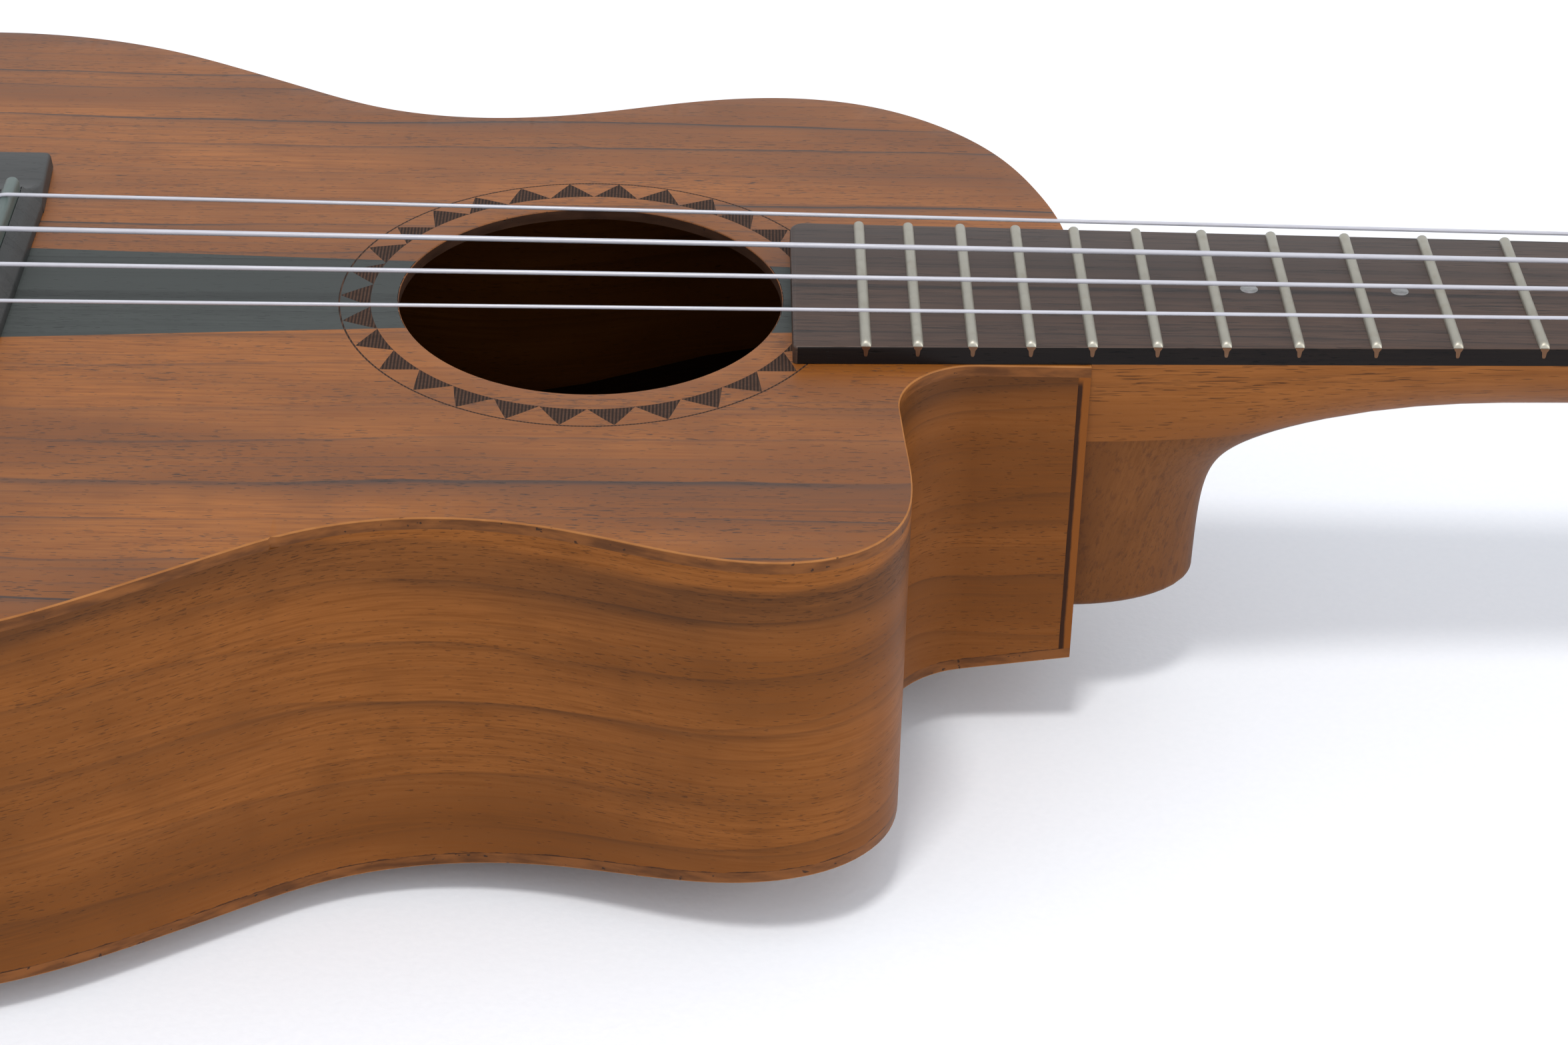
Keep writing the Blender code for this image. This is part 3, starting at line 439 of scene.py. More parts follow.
class Look:
    """A material under construction: its nodes are added through short calls."""

    def __init__(self, name):
        self.material = bpy.data.materials.new(name)
        self.material.use_nodes = True
        self.tree = self.material.node_tree
        self.shader = self.tree.nodes["Principled BSDF"]
        self.coordinates = self.tree.nodes.new("ShaderNodeTexCoord").outputs
        self.point = self.coordinates["Object"]

    def link(self, value, socket):
        if isinstance(value, bpy.types.NodeSocket):
            self.tree.links.new(value, socket)
        elif hasattr(value, "__len__") and len(socket.default_value) == 4:
            socket.default_value = (*value, 1)
        else:
            socket.default_value = value

    def node(self, kind, inputs, output=0, **settings):
        made = self.tree.nodes.new(kind)
        for key, value in settings.items():
            setattr(made, key, value)
        for key, value in inputs.items():
            self.link(value, made.inputs[key])
        return made.outputs[output]

    def math(self, operation, a, b=0.0, clamp=False):
        return self.node("ShaderNodeMath", {0: a, 1: b}, operation=operation, use_clamp=clamp)

    def times(self, a, b):
        return self.math("MULTIPLY", a, b)

    def plus(self, a, b):
        return self.math("ADD", a, b)

    def minus(self, a, b):
        return self.math("SUBTRACT", a, b)

    def noise(self, scale, detail=2.0, roughness=0.5, at=None):
        """Noise whose features are 1/scale metres across on each axis, at the material's point or another."""
        inputs = {0: self.point if at is None else at, 1: scale}
        where = self.node("ShaderNodeVectorMath", inputs, operation="MULTIPLY")
        inputs = {"Vector": where, "Scale": 1.0, "Detail": detail, "Roughness": roughness}
        return self.node("ShaderNodeTexNoise", inputs)

    def between(self, value, low, high):
        """0 below low, 1 above high, and a smooth step between."""
        inputs = {"Value": value, "From Min": low, "From Max": high}
        return self.node("ShaderNodeMapRange", inputs, interpolation_type="SMOOTHSTEP")

    def spread(self, value, low, high):
        """The value's 0 to 1 stretched to low to high."""
        inputs = {"Value": value, "To Min": low, "To Max": high}
        return self.node("ShaderNodeMapRange", inputs)

    def blend(self, factor, first, second):
        """A colour between first, where the factor is 0, and second, where it is 1."""
        return self.node("ShaderNodeMix", {0: factor, 6: first, 7: second}, output=2, data_type="RGBA")

    def parts(self, vector):
        made = self.tree.nodes.new("ShaderNodeSeparateXYZ")
        self.tree.links.new(vector, made.inputs[0])
        return made.outputs[0], made.outputs[1], made.outputs[2]

    def combined(self, x, y, z):
        return self.node("ShaderNodeCombineXYZ", {0: x, 1: y, 2: z})

    def bump(self, height, distance):
        return self.node("ShaderNodeBump", {"Height": height, "Strength": 1.0, "Distance": distance})

    def finish(self, colour, roughness, normal, **constants):
        self.link(colour, self.shader.inputs["Base Color"])
        self.link(roughness, self.shader.inputs["Roughness"])
        self.link(normal, self.shader.inputs["Normal"])
        for key, value in constants.items():
            self.shader.inputs[key.replace("_", " ")].default_value = value
        return self.material


def burnt_look():
    """Wood scorched by a laser in closely set passes across the grain."""
    look = Look("burnt")
    x, _, _ = look.parts(look.point)
    wobble = look.times(look.noise((300, 300, 300)), 0.15)
    wave = look.math("FRACT", look.plus(look.math("DIVIDE", x, HATCH_PITCH), wobble))
    stripe = look.between(look.math("ABSOLUTE", look.minus(wave, 0.5)), 0.12, 0.38)
    soot = look.noise((700, 2500, 700), detail=3.0)
    light = look.blend(look.between(soot, 0.4, 0.7), (0.066, 0.034, 0.022), (0.046, 0.024, 0.015))
    colour = look.blend(stripe, light, (0.020, 0.011, 0.008))
    normal = look.bump(look.times(stripe, -1.0), 0.06 * MM)
    return look.finish(colour, look.spread(soot, 0.6, 0.8), normal, Specular_IOR_Level=0.12)


def growth_lines(look, across, spacing, waviness):
    """Dark lines drawn out along X: (thin cores, one-sided halos, how far past a line each point is)."""
    slow = look.minus(look.noise((5, 9, 9), detail=1.0), 0.5)
    quick = look.minus(look.noise((22, 45, 45)), 0.5)
    drift = look.plus(look.times(slow, waviness * 3), look.times(quick, waviness / 2))
    level = look.math("DIVIDE", look.plus(across, drift), spacing)
    uneven = look.noise((1, 1, 1), detail=1.0, at=look.combined(0.0, look.times(level, 0.6), 0.0))
    level = look.plus(level, look.times(uneven, 2.0))
    share = look.math("FRACT", look.plus(level, 100.0))
    pick = look.node("ShaderNodeTexWhiteNoise", {"W": look.math("FLOOR", level)}, noise_dimensions="1D")
    fade = look.between(look.noise((8, 70, 70)), 0.30, 0.62)
    weight = look.times(look.spread(pick, 0.25, 1.0), look.spread(fade, 0.25, 1.0))
    ragged = look.times(look.noise((130, 900, 900)), 0.05)
    edge = look.plus(share, look.minus(ragged, 0.025))
    core = look.times(look.between(edge, 0.89, 0.965), look.between(edge, 1.0, 0.975))
    halo = look.times(look.math("POWER", share, 4.0), look.between(share, 1.0, 0.985))
    return look.times(core, weight), look.times(halo, weight), share


def wood_look(
    name,
    tones,
    line_colour,
    source="Object",
    turn=(0, 0, 0),
    offset=(0, 0, 0),
    spacing=12 * MM,
    waviness=7 * MM,
    core_strength=0.85,
    halo_strength=0.5,
    pore_strength=0.75,
    pore_length=3.2 * MM,
    pore_share=0.0,
    mottle=0.0,
    roughness=0.46,
    specular=0.12,
    seams=False,
):
    """Open-pored wood: growth lines, pores, fibres and slow changes of tone, all drawn out along local X."""
    look = Look(name)
    where = {"Vector": look.coordinates[source], "Location": offset, "Rotation": turn}
    look.point = look.node("ShaderNodeMapping", where)
    _, across, _ = look.parts(look.point)
    core, halo, share = growth_lines(look, across, spacing, waviness)
    beside = look.plus(across, 0.31)
    fine_core, fine_halo, _ = growth_lines(look, beside, spacing * 0.37, waviness / 2)

    tone = look.noise((5, 26, 26), detail=3.0, roughness=0.6)
    colour = look.blend(look.between(tone, 0.34, 0.64), tones[0], tones[1])
    fibre = look.noise((60, 1500, 1500), detail=3.0, roughness=0.7)
    colour = look.blend(look.between(fibre, 0.35, 0.75), colour, tones[2])
    figure = look.noise((90, 55, 55))
    colour = look.blend(look.times(look.between(figure, 0.45, 0.8), 0.3), colour, tones[0])
    if mottle:
        curl = look.noise((420, 1000, 1000), detail=3.0, roughness=0.65)
        colour = look.blend(look.times(look.between(curl, 0.5, 0.72), mottle), colour, line_colour)
    shade = look.times(halo, halo_strength)
    shade = look.plus(shade, look.times(fine_halo, 0.4 * halo_strength))
    shade = look.plus(shade, look.times(core, core_strength))
    shade = look.math("ADD", shade, look.times(fine_core, 0.35 * core_strength), clamp=True)
    colour = look.blend(shade, colour, line_colour)

    grain = look.noise((1 / pore_length, 4200, 4200), detail=1.0)
    crowd = look.noise((12, 70, 70))
    crowd = look.plus(look.times(crowd, 0.26), look.times(core, 0.1))
    crowd = look.minus(crowd, look.times(share, 0.03))
    pore = look.between(look.plus(grain, crowd), 0.79 - pore_share, 0.83 - pore_share)
    colour = look.blend(look.times(pore, pore_strength), colour, tuple(0.3 * c for c in line_colour))
    height = look.minus(look.times(fibre, 0.12), pore)
    rough = look.spread(fibre, roughness - 0.05, roughness + 0.06)
    if seams:
        colour, height = glued_edges(look, colour, height)
    normal = look.bump(height, 0.04 * MM)
    return look.finish(colour, rough, normal, Specular_IOR_Level=specular)


def glued_edges(look, colour, height):
    """A broken dark line of glue and grime where a rib meets the back, and filled cracks under the top."""
    edges = look.node("ShaderNodeUVMap", {}, uv_map="edges")
    above_back, below_top, _ = look.parts(edges)
    here = look.coordinates["Object"]
    ragged = look.noise((260, 260, 700), detail=3.0, roughness=0.7, at=here)
    thick = look.spread(ragged, -0.35 * MM, 0.75 * MM)
    glue_line = look.between(look.minus(thick, above_back), 0.0, 0.15 * MM)
    crack = look.between(look.noise((70, 70, 1800), at=here), 0.70, 0.73)
    crack = look.times(crack, look.between(below_top, 9 * MM, 1 * MM))
    colour = look.blend(look.times(crack, 0.45), colour, (0.036, 0.014, 0.005))
    colour = look.blend(look.times(glue_line, 0.8), colour, (0.020, 0.008, 0.004))
    return colour, look.minus(height, glue_line)


def end_grain_look(name, tones, dot_colour):
    """The cut edge of a plate: golden, with the dark mouths of its pores."""
    look = Look(name)
    tone = look.noise((120, 120, 500), detail=3.0, roughness=0.6)
    colour = look.blend(look.between(tone, 0.3, 0.7), tones[0], tones[1])
    dots = look.noise((700, 700, 900))
    crowd = look.times(look.noise((40, 40, 10)), 0.16)
    dots = look.between(look.plus(dots, crowd), 0.76, 0.80)
    colour = look.blend(look.times(dots, 0.8), colour, dot_colour)
    normal = look.bump(look.minus(1.0, dots), 0.05 * MM)
    return look.finish(colour, look.spread(tone, 0.42, 0.55), normal, Specular_IOR_Level=0.2)


def metal_look(name, colour, roughness, grain=(1500, 1500, 1500), stained=0.15):
    """Plated metal with fine scratches and a little tarnish."""
    look = Look(name)
    scratch = look.noise(grain, detail=3.0, roughness=0.7)
    stain = look.between(look.noise((260, 260, 260), detail=4.0), 0.5, 0.8)
    tone = look.blend(look.times(stain, stained), colour, TARNISH)
    rough = look.spread(scratch, roughness - 0.06, roughness + 0.10)
    normal = look.bump(scratch, 0.002 * MM)
    return look.finish(tone, rough, normal, Metallic=1.0)


def bone_look(name, colour, shade, roughness=0.35):
    """Bone or its moulded substitute: faint cloudy streaks and tiny specks."""
    look = Look(name)
    cloud = look.noise((260, 60, 260), detail=3.0, roughness=0.6)
    speck = look.between(look.noise((2200, 900, 2200), detail=1.0), 0.62, 0.72)
    tone = look.blend(look.between(cloud, 0.35, 0.7), colour, shade)
    tone = look.blend(look.times(speck, 0.25), tone, tuple(0.6 * c for c in shade))
    normal = look.bump(cloud, 0.02 * MM)
    return look.finish(tone, look.spread(cloud, roughness - 0.05, roughness + 0.08), normal)


def nylon_look():
    look = Look("nylon")
    cloud = look.noise((300, 2500, 2500))
    tone = look.blend(cloud, (0.38, 0.38, 0.43), (0.48, 0.48, 0.53))
    normal = look.bump(look.noise((900, 3500, 3500)), 0.01 * MM)
    return look.finish(tone, look.spread(cloud, 0.22, 0.34), normal, Coat_Weight=0.3, Coat_Roughness=0.15)


def pearl_look():
    look = Look("pearl")
    swirl = look.noise((420, 700, 420), detail=4.0, roughness=0.6)
    tone = look.blend(look.between(swirl, 0.35, 0.65), (0.12, 0.12, 0.12), (0.20, 0.20, 0.20))
    tone = look.blend(look.between(look.noise((600, 350, 600)), 0.5, 0.8), tone, (0.16, 0.14, 0.15))
    return look.finish(tone, look.spread(swirl, 0.18, 0.3), look.bump(swirl, 0.01 * MM), Coat_Weight=0.4)


def glue_look():
    """Dark glue that has soaked unevenly into the wood on both sides of a joint."""
    look = Look("glue_line")
    x, _, z = look.parts(look.point)
    grime = look.noise((500, 500, 120), detail=4.0, roughness=0.7)
    away = look.math("ABSOLUTE", look.minus(x, CORNER_GLUE_X))
    reach = look.spread(grime, 0.15 * MM, 0.75 * MM)
    soaked = look.between(look.minus(reach, away), -0.25 * MM, 0.2 * MM)
    soaked = look.times(soaked, look.between(z, -2.4 * MM, -4.2 * MM))
    colour = look.blend(soaked, (0.185, 0.058, 0.010), (0.030, 0.011, 0.005))
    normal = look.bump(grime, 0.04 * MM)
    return look.finish(colour, look.spread(grime, 0.5, 0.75), normal, Specular_IOR_Level=0.1)


def paper_look():
    look = Look("table")
    fleck = look.noise((700, 700, 700), detail=3.0)
    tone = look.blend(fleck, (0.785, 0.815, 0.87), (0.825, 0.85, 0.90))
    return look.finish(tone, look.spread(fleck, 0.55, 0.7), look.bump(fleck, 0.05 * MM))


def shaded(tones, factor):
    return tuple(tuple(factor * c for c in tone) for tone in tones)


TEAK = ((0.116, 0.034, 0.0030), (0.268, 0.086, 0.0095), (0.168, 0.048, 0.0040))
TEAK_LINE = (0.042, 0.021, 0.014)
TEAK_SIDE = ((0.100, 0.031, 0.0040), (0.222, 0.074, 0.014), (0.154, 0.047, 0.0062))
TEAK_SIDE_LINE = (0.058, 0.021, 0.006)
SLATE = ((0.020, 0.025, 0.023), (0.032, 0.038, 0.035), (0.026, 0.031, 0.029))
SLATE_LINE = (0.007, 0.009, 0.008)
CHARCOAL = ((0.015, 0.017, 0.017), (0.030, 0.028, 0.027), (0.021, 0.023, 0.023))
MAHOGANY = ((0.150, 0.048, 0.0085), (0.245, 0.086, 0.019), (0.196, 0.065, 0.012))
MAHOGANY_LINE = (0.055, 0.018, 0.006)
ROSEWOOD = ((0.026, 0.014, 0.010), (0.060, 0.032, 0.021), (0.038, 0.020, 0.014))
ROSEWOOD_LINE = (0.010, 0.006, 0.005)
SPRUCE = ((0.26, 0.16, 0.07), (0.33, 0.21, 0.10), (0.30, 0.18, 0.08))
SPRUCE_LINE = (0.20, 0.11, 0.05)
# the rounded arris of the plates: a lighter orange, partly wear and partly a painted highlight where light
# catches the edge
ARRIS_WEAR_AND_HIGHLIGHT = ((0.23, 0.083, 0.018), (0.31, 0.125, 0.034))
HOLE_WALL = ((0.026, 0.011, 0.006), (0.046, 0.020, 0.011))
BOARD_EDGE = ((0.005, 0.003, 0.003), (0.009, 0.006, 0.005), (0.006, 0.004, 0.004))
BOARD_EDGE_LINE = (0.002, 0.002, 0.002)
# for the inside of the body: grain lines darkened as painted shade
INNER_SHADE_LINE = (0.006, 0.003, 0.002)
TARNISH = (0.30, 0.24, 0.17)

teak_top = wood_look(
    "teak_top",
    TEAK,
    TEAK_LINE,
    core_strength=0.75,
    halo_strength=0.66,
    pore_length=2.4 * MM,
    pore_share=0.012,
    specular=0.42,
)
slate = wood_look(
    "slate_inlay",
    SLATE,
    SLATE_LINE,
    spacing=6 * MM,
    waviness=2 * MM,
    core_strength=0.6,
    roughness=0.5,
    specular=0.42,
)
burnt = burnt_look()
teak_side = wood_look(
    "teak_side",
    TEAK_SIDE,
    TEAK_SIDE_LINE,
    source="UV",
    spacing=15 * MM,
    waviness=11 * MM,
    core_strength=0.3,
    halo_strength=0.8,
    pore_length=2.2 * MM,
    pore_strength=0.5,
    seams=True,
)
teak_edge = end_grain_look("teak_edge", shaded(TEAK_SIDE[:2], 0.80), (0.012, 0.005, 0.002))
hole_wall = end_grain_look("hole_wall", HOLE_WALL, (0.01, 0.005, 0.003))
# the rounded arris of top and back: lighter for wear and for a painted highlight
teak_arris_wear_and_highlight = end_grain_look("teak_arris_wear_and_highlight", ARRIS_WEAR_AND_HIGHLIGHT, (0.06, 0.02, 0.006))
teak_back = wood_look("teak_back", TEAK_SIDE, TEAK_LINE, offset=(0.4, 0.013, 0.2), specular=0.3)
teak_head = wood_look("teak_head", TEAK, TEAK_LINE, offset=(0.1, 0.031, 0.4), specular=0.42)
mahogany = wood_look(
    "mahogany_shaft",
    MAHOGANY,
    MAHOGANY_LINE,
    turn=(math.radians(35), 0, 0),
    spacing=8 * MM,
    waviness=4 * MM,
    core_strength=0.45,
    halo_strength=0.5,
    pore_length=7 * MM,
    pore_strength=0.6,
    pore_share=0.02,
)
heel_wood = wood_look(
    "mahogany_heel",
    shaded(MAHOGANY, 0.61),
    MAHOGANY_LINE,
    turn=(0, math.radians(78), 0),
    spacing=9 * MM,
    waviness=6 * MM,
    core_strength=0.15,
    halo_strength=0.4,
    pore_length=1.0 * MM,
    pore_strength=0.22,
    mottle=0.5,
)
rosewood = wood_look(
    "rosewood_board",
    ROSEWOOD,
    ROSEWOOD_LINE,
    spacing=3.4 * MM,
    waviness=2 * MM,
    core_strength=0.7,
    pore_length=8 * MM,
    roughness=0.42,
    specular=0.36,
)
board_edge = wood_look("board_edge", BOARD_EDGE, BOARD_EDGE_LINE)
charcoal = wood_look(
    "charcoal_bridge",
    CHARCOAL,
    SLATE_LINE,
    spacing=5 * MM,
    waviness=2 * MM,
    core_strength=0.4,
    specular=0.4,
)
# the inside of the body: mahogany darkened to 0.08 of its tone, as painted shade for the dim inside seen
# through the soundhole
inner_wood = wood_look("inner_wood", shaded(MAHOGANY, 0.08), INNER_SHADE_LINE, offset=(0, 0.02, 0.1), roughness=0.7)
spruce = wood_look("spruce", SPRUCE, SPRUCE_LINE, spacing=1.6 * MM, waviness=2 * MM, pore_strength=0.1)
fret_metal = metal_look("fret_metal", (0.43, 0.41, 0.35), 0.46, grain=(1500, 150, 1500), stained=0.3)
tang_metal = metal_look("tang_metal", (0.16, 0.085, 0.05), 0.5)
nickel = metal_look("nickel", (0.52, 0.51, 0.49), 0.22)
bone = bone_look("bone", (0.60, 0.58, 0.50), (0.50, 0.47, 0.39))
saddle_grey = bone_look("saddle_grey", (0.080, 0.110, 0.101), (0.062, 0.086, 0.080), roughness=0.4)
black_knob = bone_look("knob", (0.028, 0.027, 0.027), (0.045, 0.043, 0.042), roughness=0.28)
nylon = nylon_look()
pearl = pearl_look()
glue = glue_look()
table = paper_look()


# ---------------------------------------------------------------- outline of the body


def smooth_curve(points, spacing):
    """A natural cubic spline through the points, sampled about every spacing."""
    points = np.array(points, float)
    along = np.concatenate([[0], np.cumsum(np.linalg.norm(np.diff(points, axis=0), axis=1))])
    count = len(along)
    span = np.diff(along)
    system = np.eye(count)
    right = np.zeros_like(points)
    for i in range(1, count - 1):
        system[i, i - 1 : i + 2] = span[i - 1], 2 * (span[i - 1] + span[i]), span[i]
        after = (points[i + 1] - points[i]) / span[i]
        before = (points[i] - points[i - 1]) / span[i - 1]
        right[i] = 6 * (after - before)
    bend = np.linalg.solve(system, right)
    at = np.linspace(0, along[-1], round(along[-1] / spacing) + 1)
    i = np.clip(np.searchsorted(along, at, side="right") - 1, 0, count - 2)
    a = ((along[i + 1] - at) / span[i])[:, None]
    b = 1 - a
    swing = (a**3 - a) * bend[i] + (b**3 - b) * bend[i + 1]
    return a * points[i] + b * points[i + 1] + swing * span[i][:, None] ** 2 / 6


def body_path(spacing):
    """The rim from the bass front corner, round the tail, to the start of the cutaway's straight run."""
    bass = in_metres(WAIST + SHOULDER)
    tail = []
    for angle in range(85, -86, -17):
        turn = math.radians(angle)
        tail.append((LOWER_BOUT_X - TAIL_LENGTH * math.cos(turn), LOWER_BOUT_HALF * math.sin(turn)))
    treble = [(x, -y) for x, y in in_metres(WAIST)] + in_metres(HORN)
    arc_y = CUTAWAY_Y - CUTAWAY_RADIUS
    treble.append((CUTAWAY_ARC_X, arc_y))
    path = smooth_curve(bass[::-1] + tail + treble, spacing).tolist()
    steps = round(math.pi / 2 * CUTAWAY_RADIUS / (0.6 * spacing))
    for swept in quarter_turns(steps)[1:]:
        turn = math.pi - swept
        x = CUTAWAY_ARC_X + CUTAWAY_RADIUS * (1 + math.cos(turn))
        path.append((x, arc_y + CUTAWAY_RADIUS * math.sin(turn)))
    return path


def rim_halves(spacing):
    """The rim's bass and treble runs, which meet at the tail, each as a list of (x, y)."""
    path = body_path(spacing)
    tail = min(range(len(path)), key=lambda i: path[i][0])
    front = [(JOINT_X, CUTAWAY_Y), (JOINT_X, -8 * MM), (JOINT_X, 8 * MM), (JOINT_X, 20 * MM)]
    return front + path[: tail + 1], path[tail:] + [(JOINT_X, CUTAWAY_Y)]


def outline(spacing):
    bass, treble = rim_halves(spacing)
    return bass + treble[1:-1]


def top_z(_, y):
    """The soundboard's arch, which is the same at every x."""
    return -(y**2) / (2 * TOP_ARCH_RADIUS)


def back_z(x, y):
    """The back's dome."""
    lengthwise = (x - BACK_CROWN_X) ** 2 / (2 * BACK_RADIUS_LENGTHWISE)
    return -BACK_DEPTH + lengthwise + y**2 / (2 * BACK_RADIUS_ACROSS)


def inside(loop, points):
    """Whether each point lies in the closed loop, by counting crossings."""
    loop = np.array(loop, float)
    x, y = np.array(points, float).T
    found = np.zeros(len(x), bool)
    for (ax, ay), (bx, by) in zip(loop, np.roll(loop, -1, axis=0)):
        crosses = (ay > y) != (by > y)
        with np.errstate(divide="ignore", invalid="ignore"):
            at = ax + (y - ay) * (bx - ax) / (by - ay)
        found ^= crosses & (x < at)
    return found


def circle(radius, steps):
    """A circle round the soundhole's middle."""
    return [(HOLE_X + radius * math.cos(a), radius * math.sin(a)) for a in circle_turns(steps)]


def rosette_teeth():
    """The burnt teeth: concave-sided triangles standing on the inner circle, side by side."""
    teeth = []
    half = math.pi / ROSETTE_TEETH
    steps = 6
    for number in range(ROSETTE_TEETH):
        middle = 2 * half * number + ROSETTE_TURN
        loop = []
        for step in range(steps + 1):
            share = step / steps
            loop.append((middle + half * (1 - 2 * share), 0))
        for step in range(1, 2 * steps):
            share = step / steps - 1
            loop.append((middle + half * share, (1 - abs(share)) ** TOOTH_POWER))
        height = ROSETTE_TIP - ROSETTE_BASE
        polar = [(angle, ROSETTE_BASE + height * rise) for angle, rise in loop]
        teeth.append([(HOLE_X + r * math.cos(angle), r * math.sin(angle)) for angle, r in polar][::-1])
    return teeth


def stripe_loop(side, far_x, far_low, far_high):
    """A tapered stripe of the soundboard, from the soundhole's edge to far_x, anticlockwise."""
    reach = HOLE_RADIUS + EDGE_RADIUS
    start = math.asin(STRIPE_HALF_AT_HOLE / reach)
    arc = []
    for step in range(9):
        turn = start - 2 * start * step / 8
        arc.append((HOLE_X + side * reach * math.cos(turn), reach * math.sin(turn)))
    loop = arc + [(far_x, far_low), (far_x, far_high)]
    return loop if side < 0 else loop[::-1]


# ---------------------------------------------------------------- plates


def triangulated(loops, spacing, low, high):
    """A constrained triangulation of flat loops with a grid of points between them."""
    points, edges = [], []
    for loop in loops:
        first = len(points)
        points += [Vector(p) for p in loop]
        edges += [(first + i, first + (i + 1) % len(loop)) for i in range(len(loop))]
    for x in np.arange(low[0], high[0], spacing):
        for y in np.arange(low[1], high[1], spacing):
            points.append(Vector((x, y)))
    verts, _, faces, _, _, _ = delaunay_2d_cdt(points, edges, [], 0, 1e-6)
    return np.array([tuple(v) for v in verts]), np.array(faces)


def plate_mesh(name, verts, faces, depth_of, height, thickness, rim, sign=-1):
    """A plate whose outer face follows height(x, y), stepped down by each triangle's depth.

    rim gives where a point on the plate's flat boundary moves to at full thickness, over a rounded edge.
    sign is -1 for a plate with its outer face up, and 1 for one with its outer face down.
    """
    shape = bmesh.new()
    made = {}

    def vertex(index, depth, x=None, y=None, tag="face"):
        key = (index, round(depth * 1e7), tag)
        if key not in made:
            px, py = (verts[index] if x is None else (x, y))
            made[key] = shape.verts.new((px, py, height(px, py) + sign * depth))
        return made[key]

    sides = {}
    for number, triangle in enumerate(faces):
        for a, b in zip(triangle, np.roll(triangle, -1)):
            sides.setdefault((min(a, b), max(a, b)), []).append((number, a, b))
    for number, triangle in enumerate(faces):
        shape.faces.new([vertex(i, depth_of[number]) for i in triangle])
    bottoms = {}
    for owners in sides.values():
        if len(owners) == 2 and depth_of[owners[0][0]] != depth_of[owners[1][0]]:
            _, a, b = owners[0]
            first, second = depth_of[owners[0][0]], depth_of[owners[1][0]]
            shape.faces.new((vertex(a, first), vertex(b, first), vertex(b, second), vertex(a, second)))
        if len(owners) == 1:
            _, a, b = owners[0]
            strip = []
            for index in (a, b):
                x, y = verts[index]
                move = np.array(rim(x, y)) - (x, y)
                radius = np.linalg.norm(move)
                column = [vertex(index, depth_of[owners[0][0]])]
                for step, turn in enumerate(quarter_turns(ROUND_STEPS)[1:]):
                    px, py = np.array((x, y)) + move * math.sin(turn)
                    depth = EDGE_RADIUS * (1 - math.cos(turn)) if radius else 0
                    column.append(vertex(index, depth, px, py, tag=f"round {step}"))
                px, py = np.array((x, y)) + move
                column.append(vertex(index, thickness, px, py, tag="foot"))
                bottoms[index] = column[-1]
                strip.append(column)
            # the rounded edge takes material 1, a lighter tone for wear and a painted highlight along the
            # arris; the wall below takes material 2
            for low, high in zip(range(len(strip[0])), range(1, len(strip[0]))):
                corners = (strip[0][low], strip[1][low], strip[1][high], strip[0][high])
                if len(set(corners)) == 4:
                    shape.faces.new(corners).material_index = 1 if high <= ROUND_STEPS else 2
    for triangle in faces:
        under = [bottoms.get(i) or vertex(i, thickness) for i in triangle]
        shape.faces.new(under[::-1])
    return mesh_from(shape, name, crease=32)


def inlay_mesh(name, verts, faces, looks_of=None):
    """A closed sheet over some triangles, flush with the soundboard's face."""
    shape = bmesh.new()
    top, low = {}, {}
    for index in np.unique(faces):
        x, y = verts[index]
        top[index] = shape.verts.new((x, y, top_z(x, y)))
        low[index] = shape.verts.new((x, y, top_z(x, y) - INLAY_THICKNESS))
    sides = {}
    for number, triangle in enumerate(faces):
        face = shape.faces.new([top[i] for i in triangle])
        under = shape.faces.new([low[i] for i in triangle[::-1]])
        if looks_of is not None:
            face.material_index = under.material_index = int(looks_of[number])
        for a, b in zip(triangle, np.roll(triangle, -1)):
            sides.setdefault((min(a, b), max(a, b)), []).append((a, b))
    for owners in sides.values():
        if len(owners) == 1:
            a, b = owners[0]
            shape.faces.new((top[a], top[b], low[b], low[a]))
    return mesh_from(shape, name, crease=32)


def rim_finder(flat_rim, rim_line):
    """A function giving where a point on a plate's flat boundary moves to on its full outline."""
    lookup = {(round(x * 1e6), round(y * 1e6)): full for (x, y), full in zip(flat_rim, rim_line)}
    return lambda x, y: lookup.get((round(x * 1e6), round(y * 1e6)), (x, y))


